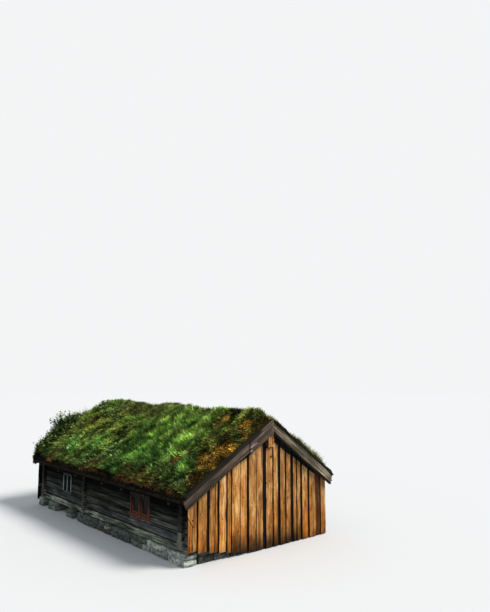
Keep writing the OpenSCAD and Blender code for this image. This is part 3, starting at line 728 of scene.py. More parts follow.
# Colours of the growth, each row from dark to bright
GREENS = np.array([
    [0.05, 0.09, 0.02], [0.1, 0.16, 0.025], [0.17, 0.24, 0.035], [0.26, 0.31, 0.05], [0.33, 0.36, 0.08]])
FRESH = np.array([
    [0.05, 0.13, 0.025], [0.11, 0.24, 0.035], [0.2, 0.36, 0.05], [0.29, 0.44, 0.08], [0.35, 0.48, 0.12]])
MOSSES = np.array([
    [0.08, 0.07, 0.015], [0.2, 0.12, 0.02], [0.34, 0.17, 0.02], [0.5, 0.24, 0.025], [0.58, 0.36, 0.06]])
STRAWS = np.array([[0.26, 0.115, 0.035], [0.16, 0.07, 0.022], [0.2, 0.13, 0.045], [0.07, 0.07, 0.02]])
LEAFS = np.array([
    [0.24, 0.34, 0.07], [0.5, 0.55, 0.2], [0.13, 0.24, 0.08], [0.08, 0.17, 0.07], [0.05, 0.11, 0.045]])
FRINGE = np.array([
    [0.55, 0.54, 0.13], [0.65, 0.54, 0.17], [0.32, 0.38, 0.07], [0.16, 0.18, 0.05], [0.4, 0.27, 0.06]])
STALKS = np.array([[0.34, 0.3, 0.1], [0.3, 0.2, 0.08], [0.2, 0.28, 0.06], [0.12, 0.2, 0.05]])


def pick(palette, x, y, size, seed, rng):
    """Colours from a palette in patches of the given size, with some strays."""
    place = 0.5 + 0.75 * flat_noise(x, y, size, 2, seed) + rng.normal(0, 0.24, len(x))
    return palette[np.clip((place * len(palette)).astype(int), 0, len(palette) - 1)]


def within_limits(points):
    """Keeps growth inside a box a little larger than the imported model's. Keeps growth
    inside the box that the house may fill.
    """
    points[:, 2] = np.minimum(points[:, 2], TOP_LIMIT)
    points[:, 0] = np.clip(points[:, 0], -SIDE_LIMIT, SIDE_LIMIT)
    return points


def room_above(roots, tall, rng):
    """Share of its height that growth keeps, so that its tips end at uneven heights under the limit."""
    lower = np.clip(0.55 + 1.3 * flat_noise(roots[:, 0], roots[:, 1], 0.09, 2, 85), 0, 1)
    room = TOP_LIMIT - RAGGED * np.maximum(lower, rng.random(len(roots)) ** 3) - roots[:, 2]
    return np.clip(room / np.maximum(tall, 0.001), 0.05, 1)


def blades(pile, roots, out, length, width, colour, rng, droop=0.6, foot=0.3, tip=1.4):
    """Adds one bent blade of three triangles at each root; it is darker at the foot, as painted shade low in
    the growth, and lighter at the tip, as a painted highlight.
    """
    n = len(roots)
    out = out / np.linalg.norm(out, axis=1, keepdims=True)
    across = np.cross(out, rng.normal(size=(n, 3)))
    across = across / np.maximum(np.linalg.norm(across, axis=1, keepdims=True), 1e-6)
    half = across * (width / 2)[:, None]
    bend = out.copy()
    bend[:, 2] -= droop
    bend /= np.linalg.norm(bend, axis=1, keepdims=True)
    tall = length * np.maximum(out[:, 2] * 0.55 + np.maximum(bend[:, 2], 0) * 0.45, 0)
    length = length * room_above(roots, tall, rng)
    middle = roots + out * (length * 0.55)[:, None]
    end = middle + bend * (length * 0.45)[:, None]
    points = np.stack([roots - half, roots + half, middle - half * 0.8, middle + half * 0.8, end], 1)
    base = np.arange(n)[:, None] * 5
    shade = np.array([foot, foot, 1.0, 1.0, tip])
    tint = colour[:, None, :] * shade[None, :, None]
    faces = [base + np.array([[0, 1, 3, 2]]), base + np.array([[2, 3, 4]])]
    pile.add(within_limits(points.reshape(-1, 3)), faces, tint.reshape(-1, 3))


def grow(name, side, tufts, each, rng, material):
    """Tufts of grass combed down the slope, short moss behind the verge and dry growth at the eave."""
    pile = Pile()
    down = rng.uniform(0.0, run(side) + 0.02, tufts)
    y = rng.uniform(-VERGE_Y + VERGE_START + 0.03, VERGE_Y - VERGE_START - 0.03, tufts)
    x = RIDGE_X + side * down
    moss = moss_share(x, y, side)
    edge = edge_share(x, y, side)
    lush = lush_share(x, y, side) * (1 - moss) * (1 - edge)
    thick = flat_noise(x, y, 0.35, 2, 61)
    comb = rng.uniform(0.35, 0.95, tufts) * (1 - 0.6 * lush) * smooth(-0.1, 0.3, down)
    lean = rng.normal(0, 0.22, (tufts, 2))
    colour = pick(GREENS, x, y, 0.4, 11, rng)
    colour = blend(colour, pick(FRESH, x, y, 0.3, 13, rng), lush)
    colour = colour * blend(PLAIN, DAMP, smooth(0.45, 0.75, down / run(side)))
    colour = blend(colour, pick(MOSSES, x, y, 0.26, 15, rng), moss * (rng.random(tufts) < 0.9))
    colour = colour * (np.exp(rng.normal(0, 0.4, tufts)) * (1 + 0.1 * thick))[:, None]
    length = rng.uniform(0.1, 0.19, tufts) * (1 - 0.68 * moss) * (1 + 0.3 * lush)
    n = tufts * each
    moss, edge, lush, comb = (np.repeat(v, each) for v in (moss, edge, lush, comb))
    spread = 0.027 + 0.025 * moss
    down = np.clip(np.repeat(down, each) + rng.normal(0, 1, n) * spread, 0, run(side) - 0.06)
    y = np.repeat(y, each) + rng.normal(0, 1, n) * spread
    y = np.clip(y, -VERGE_Y + VERGE_START, VERGE_Y - VERGE_START)
    lip = run(side) - LIP_START
    roots = sod_point(side, np.minimum(down, lip), y, -ROOT_DEPTH)
    over = np.maximum(down - lip, 0)
    roots[:, 0] += side * over
    roots[:, 2] -= over * 0.5
    out = np.zeros((n, 3))
    out[:, 0] = side * comb + np.repeat(lean[:, 0], each) + rng.normal(0, 0.3, n)
    out[:, 1] = -0.35 * comb * side + np.repeat(lean[:, 1], each) + rng.normal(0, 0.32, n)
    out[:, 2] = 0.7 - comb * fall(side) * 0.7 + 0.9 * lush
    straw = np.clip(edge * 0.85 + (rng.random(n) < 0.05), 0, 1)
    straws = STRAWS[rng.integers(0, len(STRAWS), n)] * 1.25
    colour = blend(np.repeat(colour, each, axis=0), straws, straw * (rng.random(n) < 0.8))
    shade = sod_shade(RIDGE_X + side * down, y, side) * 0.97 * np.exp(rng.normal(0, 0.34, n))
    colour = colour * shade[:, None]
    length = np.repeat(length, each) * rng.uniform(0.6, 1.2, n)
    if side == LEFT:
        length = length * (1 - 0.5 * smooth(RIM_WIDTH + 0.06, RIM_WIDTH - 0.04, y + VERGE_Y))
    width = rng.uniform(0.013, 0.026, n) * (1 + 0.3 * moss)
    blades(pile, roots, out, length, width, colour, rng)
    pile.piece(name, [material], flat=True)


def hang(name, side, count, rng, material):
    """Roots, moss and dry grass that hang over the eave log."""
    pile = Pile()
    y = rng.uniform(-VERGE_Y + 0.06, VERGE_Y - 0.06, count)
    keep = flat_noise(y, y * 0, 0.5, 2, 33) + rng.normal(0, 0.35, count) > -0.25
    y = y[keep]
    n = len(y)
    roots = sod_point(side, np.full(n, run(side) - LIP_START), y)
    reach = rng.uniform(0.06, 0.15, n)
    roots[:, 0] += side * reach
    roots[:, 2] -= rng.uniform(0.0, 0.05, n) + reach * 0.3
    out = np.stack([side * rng.uniform(0.1, 0.9, n), rng.normal(0, 0.4, n), rng.uniform(-0.9, 0.1, n)], 1)
    colour = blend(STRAWS[rng.integers(0, 4, n)], GREENS[rng.integers(0, 5, n)] * 0.5, rng.random(n) < 0.5)
    brown = spot_share(BROWN_SPOTS, side * 2.62, y) if side == LEFT else np.full(n, 0.3)
    colour = blend(colour, (0.3, 0.13, 0.04), brown * 0.7)
    shade = rng.uniform(0.15, 0.5, n) * (0.4 + 2.4 * brown) * (1 + 0.8 * smooth(0.2, 1.6, y))
    clump = 0.7 + 1.1 * np.clip(flat_noise(y, y * 0, 0.3, 2, 35) + 0.35, 0, 1)
    length, width = rng.uniform(0.05, 0.13, n) * clump, rng.uniform(0.008, 0.018, n)
    blades(pile, roots, out, length, width, colour * shade[:, None], rng, droop=1.2)
    pile.piece(name, [material], flat=True)


def fringe(name, rng, material):
    """Dry and fresh grass that stands up behind the front cap boards on the right slope."""
    pile = Pile()
    count = FRINGE_BLADES
    x = RIDGE_X + (EAVE_X - RIDGE_X - 0.1) * rng.random(count) ** 1.25
    y = -VERGE_Y + rng.uniform(0.1, 0.2, count)
    roots = sod_point(RIGHT, x - RIDGE_X, y, -0.01)
    out = np.stack([rng.normal(0, 0.25, count), rng.normal(-0.15, 0.2, count), np.ones(count)], 1)
    clump = 0.6 + 0.9 * np.clip(0.5 + flat_noise(x, y, 0.28, 2, 47), 0, 1)
    length = rng.uniform(0.1, 0.22, count) * clump
    length = length * (1 - 0.5 * smooth(RIDGE_X + 0.4, RIDGE_X + 0.05, x)) * (1 + 0.3 * smooth(0.9, 1.4, x))
    colour = FRINGE[rng.integers(0, len(FRINGE), count)] * rng.uniform(0.6, 1.3, count)[:, None]
    blades(pile, roots, out, length, rng.uniform(0.01, 0.022, count), colour, rng, 0.4, 0.35, 1.3)
    pile.piece(name, [material], flat=True)


def leafy(name, plants, rng, material):
    """Small herbs: a leaning stem with leaves along it; a plant is side, x, y and height."""
    pile = Pile()
    for side, x, y, height in plants:
        root = sod_point(side, np.array([side * (x - RIDGE_X)]), np.array([y]), -0.02)[0]
        lean = np.array([rng.normal(0, 0.18) + 0.15 * side, rng.normal(0, 0.18), 1.0])
        height = height * float(room_above(root[None], height, rng)[0])
        count = int(6 + height * 34)
        up = np.sort(rng.uniform(0.2, 1.0, count)) * height
        place = root + lean * up[:, None]
        turn = rng.uniform(0, 2 * math.pi, count)
        out = np.stack([np.cos(turn), np.sin(turn), rng.uniform(-0.1, 0.7, count)], 1)
        size = rng.uniform(0.04, 0.08, count) * (1.15 - 0.4 * up / height) * (1 + 0.9 * height)
        across = np.stack([-np.sin(turn), np.cos(turn), np.zeros(count)], 1)
        tip = place + out * size[:, None]
        half = across * (size * 0.36)[:, None]
        middle = place + out * (size * 0.5)[:, None]
        points = within_limits(np.stack([place, middle - half, tip, middle + half], 1).reshape(-1, 3))
        light = (0.55 + 0.65 * up / height) * rng.uniform(0.7, 1.3, count)
        colour = LEAFS[rng.integers(0, len(LEAFS), count)] * light[:, None]
        faces = np.arange(count)[:, None] * 4 + np.array([[0, 1, 2, 3]])
        pile.add(points, faces, np.repeat(colour, 4, axis=0))
        stem = within_limits(np.stack([root, root + np.array([0.006, 0, 0]), root + lean * height], 0))
        pile.add(stem, np.array([[0, 1, 2]]), (0.06, 0.08, 0.03))
    pile.piece(name, [material], flat=True)


CORNER_HERBS, TALL_HERBS, RIDGE_HERBS = 760, 24, 120
# Height of the herbs at the far end, by place across
CORNER_HEIGHT = [
    (-2.6, 0.22), (-2.2, 0.3), (-1.95, 0.5), (-1.5, 0.46), (-1.2, 0.34), (-0.9, 0.2), (-0.7, 0.02)]
# Beds of herbs: place across, place along, spread, count and height
HERB_SPOTS = [
    (-2.2, -0.5, 0.16, 90, 0.16), (-2.0, 0.05, 0.2, 110, 0.18), (-2.36, 1.1, 0.2, 60, 0.15),
    (-2.0, 0.55, 0.2, 40, 0.14), (-2.35, -1.5, 0.18, 40, 0.13), (-1.76, -2.15, 0.16, 40, 0.12),
    (-1.0, 2.3, 0.2, 40, 0.14), (-0.3, 3.4, 0.3, 60, 0.16), (0.0, 2.9, 0.25, 40, 0.16),
    (-0.7, 4.0, 0.2, 30, 0.1), (-2.5, -4.3, 0.14, 40, 0.12), (-2.45, -3.4, 0.16, 40, 0.12)]
# Beds of stalks: side, count, from x, to x, from y, to y and height
STALK_BEDS = [
    (LEFT, 300, -2.4, -0.8, 4.3, 4.84, 0.5), (LEFT, 200, -0.6, 0.2, 2.6, 4.3, 0.24),
    (LEFT, 700, -0.4, 0.2, -1.0, 2.8, 0.26), (LEFT, 160, -1.9, -0.2, -3.4, 1.5, 0.2),
    (RIGHT, 200, 0.3, 2.3, -4.4, 4.7, 0.2)]


def herb_bed(rng, side, count, across, along, heights):
    """Herbs spread evenly over a rectangle of one slope."""
    return [(side, rng.uniform(*across), rng.uniform(*along), rng.uniform(*heights)) for _ in range(count)]


def build_roof():
    soil = soil_stuff()
    grass = leaf_stuff("grass")
    rng = np.random.default_rng(ROOF_SEED)
    for side, word in SIDES:
        sod_side("sod_" + word, "turf_" + word, side, soil)
        count, tufts = GRASS[side]
        for n in range(count):
            grow(f"grass_{word}_{n}", side, tufts, BLADES_A_TUFT, rng, grass)
        hang("hanging_roots_" + word, side, HANGING[side], rng, grass)
    fringe("verge_fringe", rng, grass)
    cap_moss(soil)
    plants = []
    for _ in range(CORNER_HERBS):
        x, y = rng.uniform(-2.58, -0.7), 4.86 - abs(rng.normal(0, 0.36))
        corner = float(smooth(3.9, 4.6, y) * np.interp(x, *zip(*CORNER_HEIGHT)))
        plants.append((LEFT, x, y, rng.uniform(0.08, 0.16) + corner * rng.uniform(0.4, 1)))
    for _ in range(TALL_HERBS):
        plants.append((LEFT, rng.normal(-1.75, 0.12), rng.uniform(4.4, 4.84), rng.uniform(0.6, 0.86)))
    plants += herb_bed(rng, LEFT, 380, (-0.7, 0.12), (2.5, 4.5), (0.1, 0.26))
    for x, y, radius, count, height in HERB_SPOTS:
        for _ in range(count):
            at = x + rng.normal(0, radius), y + rng.normal(0, radius)
            plants.append((LEFT, *at, height * rng.uniform(0.5, 1.1)))
    for _ in range(RIDGE_HERBS):
        x = RIDGE_X - abs(rng.normal(0, 0.35))
        plants.append((LEFT, x, rng.uniform(-4.3, 4.7), rng.uniform(0.07, 0.16)))
    plants += herb_bed(rng, LEFT, 260, (-2.55, 0.1), (-3.4, 4.7), (0.05, 0.13))
    plants += herb_bed(rng, RIGHT, 160, (0.3, 2.5), (-4.5, 4.7), (0.06, 0.17))
    leafy("herbs", [p for p in plants if abs(p[1]) < EAVE_X - 0.05], rng, leaf_stuff("leaves"))
    stalks("seed_stalks", rng, grass)


def stalks(name, rng, material):
    """Thin seed stalks that stand over the ridge and the far corner."""
    pile = Pile()
    for side, count, x0, x1, y0, y1, tall in STALK_BEDS:
        x, y = rng.uniform(x0, x1, count), rng.uniform(y0, y1, count)
        roots = sod_point(side, side * (x - RIDGE_X), y)
        out = np.stack([rng.normal(0, 0.16, count), rng.normal(0, 0.16, count), np.ones(count)], 1)
        colour = STALKS[rng.integers(0, len(STALKS), count)] * rng.uniform(0.6, 1.2, count)[:, None]
        length, width = tall * rng.uniform(0.5, 1.1, count), rng.uniform(0.006, 0.014, count)
        blades(pile, roots, out, length, width, colour, rng, 0.25, 0.6, 1.5)
    pile.piece(name, [material], flat=True)


# Gable cladding: width of each outer board and of the gap after it, in millimetres from the left corner
BOARD_ROW = [
    (267, 48), (265, 87), (170, 17), (68, 58), (218, 52), (111, 33), (288, 4), (216, 78), (262, 4),
    (230, 127), (238, 46), (157, 99), (186, 44), (172, 107), (122, 41), (127, 79), (223, 75), (257, 233),
    (207, 0)]
FOOT_LINE = [(-2.5, 0.41), (-1.2, 0.15), (-0.3, 0.03), (2.5, 0.02)]
# Where the verge's shade ends on the boards: place across and depth under the verge line
SHADE_LINE = [
    (-2.6, 0.3), (-1.4, 0.36), (-0.6, 0.46), (0.2, 0.49), (0.23, 0.5), (0.94, 0.47), (1.14, 0.43),
    (1.74, 0.41), (1.97, 0.38), (2.19, 0.34), (2.36, 0.26), (2.38, 0.12), (2.7, 0.12)]
SHADE_STEP = 0.008
SHADE_STRIP = 0.11
# Splits in the front boards: place across, foot, top and width at the foot
SPLITS = [
    (-0.829, 0.04, 1.74, 0.03), (-0.274, 0.02, 1.70, 0.042), (0.775, 1.08, 1.56, 0.03),
    (1.62, 1.35, 1.95, 0.018), (-2.36, 0.40, 1.02, 0.035), (-2.44, 0.40, 0.86, 0.02),
    (-1.485, 1.8, 2.0, 0.014), (-1.06, 1.35, 1.9, 0.016), (-0.45, 0.05, 0.9, 0.012), (0.2, 0.1, 0.7, 0.016),
    (0.7, 0.04, 0.6, 0.02), (1.9, 0.3, 0.9, 0.012), (-2.05, 0.6, 1.1, 0.012), (0.1, 1.72, 1.76, 0.05),
    (0.47, 0.2, 0.62, 0.012), (1.36, 0.1, 0.5, 0.016)]
# Knots in the front boards: place across, height and radius
KNOTS = [
    (-0.74, 1.46, 0.026), (-0.28, 2.54, 0.03), (0.28, 2.42, 0.04), (0.80, 2.59, 0.026), (-1.71, 1.86, 0.034),
    (-1.02, 1.78, 0.02), (0.22, 1.77, 0.022), (1.36, 1.62, 0.02), (1.86, 0.8, 0.024), (0.93, 1.24, 0.02),
    (-1.42, 1.02, 0.022), (1.66, 1.05, 0.018), (-0.9, 0.62, 0.024), (-0.2, 0.95, 0.018), (-2.36, 1.12, 0.03)]
KNOT_CORNERS = 9
# Breaks across the front boards: place and height of both ends, and width
BREAKS = [
    (-2.5, 1.21, -2.335, 0.95, 0.04), (-2.335, 0.95, -2.29, 0.99, 0.02), (0.93, 1.8, 1.02, 2.0, 0.03),
    (1.72, 1.2, 1.85, 1.17, 0.012)]
BREAK_STEPS = 7
SPLIT_STEPS = 14
# Points up each board below the shade, on the front, on the back and in the gaps
FRONT_STEPS, BACK_STEPS, GAP_STEPS = 18, 10, 6
BOARD_T = 0.026
BACK_BOARD_T = 0.022
BACK_LAP = 0.018
PROUD = 0.0012
# Painted shade in the gaps between boards, on the sides and backs of the outer boards, and in splits and
# breaks
GAP_AND_CRACK_SHADE = (0.012, 0.026, 0.09)
IN_SHADE = (0.014, 0.03, 0.1)
STRIP_SHADE = (0.03, 0.065, 0.22)
BROWN_BOARD = (0.2, 0.17, 0.19)
# In a gap wider than this the inner board shows brown
BROWN_GAP = 0.15


def board_places(half):
    """Start and width of each outer board and of each gap, in metres from the middle."""
    total = sum(w + g for w, g in BOARD_ROW)
    scale = 2 * half / total
    x, places = -half, []
    for w, g in BOARD_ROW:
        places.append((x, w * scale, g * scale))
        x += (w + g) * scale
    return places


def upright(pile, rect, y, thickness, face, tint, steps, inner):
    """One upright board whose top follows the roof; the strip under the verge carries painted shade."""
    x0, x1, z0, z1 = rect
    ring = section(x1 - x0, thickness, 0.005, 1)
    x = (x0 + x1) / 2 + ring[:, 0]
    top = np.minimum(roof_z(x) - LINING, z1) if z1 == APEX_Z else np.full(len(x), z1)
    depth = np.interp(x, *zip(*SHADE_LINE))
    edge = np.minimum(roof_z(x) - depth, top - 3 * SHADE_STEP)
    strip = np.minimum(edge + SHADE_STRIP, top - SHADE_STEP)
    t = np.linspace(0, 1, steps)[:, None]
    z = np.concatenate([z0 + (edge - z0) * t, [edge + SHADE_STEP, strip, strip + SHADE_STEP / 2, top]])
    push = uneven([ring[:, 0] * 9, z / 0.28, z * 0], z.shape, 5.1, 3)
    px = np.broadcast_to(x, z.shape) + 0.01 * push * np.sign(ring[:, 0])
    py = y + face * (ring[:, 1] + 0.002 * push)
    middle = float(smooth(-1.35, -0.95, x.mean()) * smooth(1.75, 1.2, x.mean()))
    dirt = smooth(0.18 + 0.52 * middle, 0.0, z - z0 + 0.16 * push) * (0.4 + 0.6 * middle)
    tints = np.asarray(tint) * blend(PLAIN, (0.09, 0.1, 0.16), dirt) * (1 + 0.14 * push[..., None])
    under = roof_z(px) - z
    tints = tints * blend(PLAIN, (1.05, 1.2, 1.55), smooth(1.1, 0.3, under + 0.3 * push))
    tints = tints * blend(PLAIN, (0.98, 0.84, 0.62), smooth(1.3, 0.4, z + 0.3 * push))
    corner = smooth(-2.36, -2.4, px) * smooth(1.12, 0.98, z)
    tints = tints * blend(PLAIN, (0.85, 0.55, 0.35), corner)
    # Painted shade: an outer board's sides and back darken as the gaps do, and the rows under the verge
    # darken as the verge's shadow
    if not inner:
        edges = (np.abs(ring[:, 0]) > (x1 - x0) / 2 - 0.001) | (ring[:, 1] < -thickness / 2 + 0.001)
        tints = tints * blend(PLAIN, GAP_AND_CRACK_SHADE, edges)[None]
        tints[steps:steps + 2] = IN_SHADE
        tints[steps + 2:] = STRIP_SHADE
    loft(pile, np.stack([px, py, z], -1), tints)


def add_marks(pile, y):
    """Splits and breaks as thin slivers of painted shade, and knots as dark slivers, on the front boards'
    faces.
    """
    for n, (x, z0, z1, width) in enumerate(SPLITS):
        t = np.linspace(0, 1, SPLIT_STEPS)
        half = width / 2 * (1 - t) ** 0.55
        wander = 0.012 * fractal(np.stack([t * 5, t * 0 + n * 3.7, t * 0], 1), 1.0, 2, 95)
        z = z0 + (z1 - z0) * t
        sliver(pile, (x + wander - half, z), (x + wander + half, z), y, False, GAP_AND_CRACK_SHADE)
    for x0, z0, x1, z1, width in BREAKS:
        t = np.linspace(0, 1, BREAK_STEPS)
        x, z = x0 + (x1 - x0) * t, z0 + (z1 - z0) * t
        jag = width * (0.35 + 0.65 * np.abs(np.sin(t * 9 + x0)))
        sliver(pile, (x, z - jag / 2), (x, z + jag / 2), y, True, GAP_AND_CRACK_SHADE)
    angle = np.arange(KNOT_CORNERS) * 2 * math.pi / KNOT_CORNERS
    tint = np.concatenate([np.tile((0.3, 0.2, 0.2), (KNOT_CORNERS, 1)), [(0.03, 0.02, 0.03)]])
    for x, z, radius in KNOTS:
        rim = np.stack([x + radius * 0.7 * np.cos(angle), y + 0 * angle, z + radius * np.sin(angle)], 1)
        pile.add(np.concatenate([rim, [[x, y, z]]]), fan(KNOT_CORNERS), tint)


def build_cladding():
    purlin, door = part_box("ridge_purlin"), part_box("door_frame")
    purlin_hole = (purlin[0].x - 0.004, purlin[1].x + 0.004, purlin[0].z - 0.004, APEX_Z)
    door_hole = (door[0].x, door[1].x, door[0].z - 0.002, door[1].z + 0.002)
    for word, end in ENDS.items():
        rng = np.random.default_rng(CLADDING_SEED + end)
        low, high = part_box("cladding_" + word)
        front = end < 0
        face_y = low.y if front else high.y
        holes = [purlin_hole] if front else [purlin_hole, door_hole]
        pile = Pile()
        for n, (x, w, gap) in enumerate(board_places(high.x)):
            foot = (np.interp(x + w / 2, *zip(*FOOT_LINE)) if front else low.z) + 0.01 * math.sin(n * 137)
            warm = rng.uniform(-0.2, 0.2)
            tone = rng.uniform(0.8, 1.2) * np.array([1 + warm * 0.2, 1 - warm * 0.2, 1 - warm])
            steps = FRONT_STEPS if front else BACK_STEPS
            layers = [(x, x + w, BOARD_T / 2, BOARD_T, tone, steps, False)]
            if gap > 0.001:
                shade = BROWN_BOARD if gap > BROWN_GAP and front else GAP_AND_CRACK_SHADE
                layers.append((x + w - BACK_LAP, x + w + gap + BACK_LAP, BOARD_T + BACK_BOARD_T / 2,
                               BACK_BOARD_T, shade, GAP_STEPS, True))
            for x0, x1, deep, thickness, tint, steps, inner in layers:
                for rect in cut_out([(x0, x1, foot, APEX_Z)], holes):
                    upright(pile, rect, face_y - end * deep, thickness, end, tint, steps, inner)
        if front:
            add_marks(pile, face_y - PROUD)
        pile.piece("gable_boards_" + word, [GABLE_BOARD], ["cladding_" + word], flat=True)


def on_slope(pile, x0, x1, depth, y, thickness, steps, tone_at, end_slot, rough, rows, widen=0.0, slant=0.0,
             belly=0.0):
    """A board on edge that follows the roof's slope under the verge line, from x0 to x1.

    The tint is a function of the place across and of the depth under the board's top.
    The board is wider by widen at x0, and by the share belly halfway.
    """
    ring = section(thickness, depth, 0.004, rows)
    z0, z1 = (float(roof_z(x)) - depth / 2 for x in (x0, x1))
    x = np.linspace(x0, x1, steps)[:, None] + 0 * ring[None, :, 1]
    tint = tone_at(x, np.broadcast_to(depth / 2 - ring[:, 1], x.shape))
    bar(pile, (x0, y, z0 - widen / 2), (x1, y, z1), Y_WAY, Z_WAY, ring, steps, rough, 0.002, tint, end_slot,
        taper=lambda t: 1 + widen / depth * (1 - t) + belly * np.sin(np.pi * t), slant=slant)


def verge_tone(x, under):
    """Grey boards with a painted shadow line under the cap, palest just under it, darker at the eave."""
    cap_shadow_line = smooth(0.036, 0.018, under)
    pale = smooth(0.03, 0.05, under) * smooth(0.13, 0.08, under)
    streaks = 1 + 0.5 * flat_noise(x * 0.5, under * 16, 0.35, 3, 63)
    low_end = 1 - 0.25 * smooth(-1.5, -2.2, x)
    tone = (1 + 0.5 * pale) * (1 - 0.75 * cap_shadow_line) * streaks * low_end
    tone = tone * (1 + 0.2 * smooth(-1.6, -0.6, x))
    return tone[..., None] * np.array([1.9, 1.84, 1.8])


def over_tone(x, under):
    """The wider length over the upper end, whose cut end at the ridge is pale."""
    return verge_tone(x, under) * (1.1 + 0.9 * smooth(RIDGE_X - 0.05, RIDGE_X - 0.03, x))[..., None]


def bright_verge_tone(x, under):
    """The sunny front board: a painted shadow line under the cap, pale above, grey below, with the palest
    splintered stretch near the eave.
    """
    near_ridge = smooth(2.3, 0.5, x)
    mossy = smooth(0.5, 1.1, x) * smooth(2.6, 2.1, x)
    cap_shadow_line = smooth(0.03, 0.012, under - 0.025 * near_ridge - 0.02 * mossy)
    lower = smooth(0.12, 0.17, under)
    splinters = smooth(2.05, 2.2, x) * smooth(2.55, 2.45, x)
    splinters = splinters * (0.6 + 1.3 * flat_noise(x * 2, under * 30, 0.3, 2, 67))
    crest = smooth(0.035, 0.05, under) * smooth(0.09, 0.07, under)
    streaks = 1 + 0.6 * flat_noise(x * 0.7, under * 18, 0.3, 3, 65)
    tone = (1.6 - 0.7 * lower + 0.8 * crest) * (1 - 0.85 * cap_shadow_line) * streaks
    tone = tone * (1 + 0.35 * smooth(1.2, 2.2, x))
    return np.maximum(tone * (1 + 1.1 * splinters), 0.05)[..., None] * np.array([1.06, 1.0, 0.98])


# Pale splinters on the face of the over board: start, end, depth under the top at each, and width
SPLINTERS = [
    (-0.63, -0.37, 0.165, 0.205, 0.045), (-0.6, -0.42, 0.13, 0.16, 0.014), (-0.63, -0.55, 0.26, 0.275, 0.035),
    (-0.3, -0.1, 0.075, 0.08, 0.01)]
SPLINTER_TINT = (11.0, 11.5, 12.5)
# The left cap turns pale between these places across
CAP_BRIGHT = (-0.28, -0.16)
VERGE_STEPS, OVER_STEPS, CAP_STEPS, SPLINTER_STEPS = 40, 22, 30, 8
# The left front board is wider at its upper end, and its lower end is cut aslant and stands further out
WIDEN = 0.07
END_REACH = 0.04
END_SLANT = 0.42
# The right front board is widest halfway, and its end stands further back
END_BACK = 0.05
BELLY = 0.22
# Moss on the right front cap: its height over the cap, and how far it hangs over the front edge
CAP_MOSS = 0.075
MOSS_LIP = 0.03
MOSS_GRID = (150, 8)


def cap_moss(material):
    """Dark lumpy moss and rotten sod on the right front cap boards."""
    low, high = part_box("cap_boards_front")
    thickness = high.z - APEX_Z
    rows, cols = MOSS_GRID
    across, along = np.meshgrid(np.linspace(0, 1, cols), np.linspace(0, 1, rows))
    x = RIDGE_X + 0.02 + (high.x - RIDGE_X - 0.04) * along
    y = low.y - 0.012 + (high.y - low.y) * 0.9 * across
    lumps = 0.75 + 0.9 * flat_noise(x, y, 0.14, 3, 101)
    crown = np.sin(np.pi * np.clip(across, 0.06, 0.8)) ** 0.4
    crown = crown * smooth(0.0, 0.06, along) * smooth(1.0, 0.97, along)
    z = roof_z(x) + thickness - 0.004 + CAP_MOSS * np.clip(lumps, 0.25, 1.6) * crown * (across > 0)
    z = np.where(across == 0, roof_z(x) - MOSS_LIP * np.clip(lumps, 0.0, 1.6), z)
    tint = (0.5 + 0.5 * flat_noise(x, y, 0.08, 2, 103))[..., None] * np.array([0.8, 0.75, 0.95])
    pile = Pile()
    pile.add(np.stack([x, y, z], -1).reshape(-1, 3), grid_faces(rows, cols), tint.reshape(-1, 3))
    pile.piece("cap_moss", [material])


def build_verges():
    for word, end in ENDS.items():
        for side, hand in SIDES:
            node = f"verge_board_{word}_{hand}"
            low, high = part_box(node)
            eave = low.x if side == LEFT else high.x
            depth = float(roof_z(eave)) - low.z
            tone_at, shift, widen, slant, belly = verge_tone, 0, 0, 0, 0
            pale = (side, end) == (RIGHT, -1)
            if pale:
                tone_at, shift, slant, belly = bright_verge_tone, END_BACK, END_SLANT, BELLY
            elif end < 0:
                shift, widen, slant = END_REACH, WIDEN, END_SLANT
            pile = Pile()
            on_slope(pile, RIDGE_X, eave - shift, depth, middle_of(node)[1], high.y - low.y, VERGE_STEPS,
                     tone_at, 1, 0.006, 9, widen, slant, belly)
            pile.piece(f"verge_{word}_{hand}", [VERGE_PALE if pale else VERGE[side], END_GREY],
                       [node], flat=True)
    low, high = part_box("verge_board_front_over")
    depth = float(roof_z(low.x)) - low.z
    pile = Pile()
    y = middle_of("verge_board_front_over")[1]
    on_slope(pile, RIDGE_X, low.x, depth, y, high.y - low.y, OVER_STEPS, over_tone, 0, 0.005, 12)
    for x0, x1, under, under_end, width in SPLINTERS:
        t = np.linspace(0, 1, SPLINTER_STEPS)
        half = width / 2 * np.sin(np.pi * (0.3 + 0.66 * t)) ** 0.7
        x = x0 + (x1 - x0) * t
        z = roof_z(x) - under - (under_end - under) * t
        sliver(pile, (x, z - half), (x, z + half), low.y - 2 * PROUD, True, SPLINTER_TINT)
    pile.piece("verge_front_over", [VERGE[LEFT], END_GREY], ["verge_board_front_over"],
               flat=True)


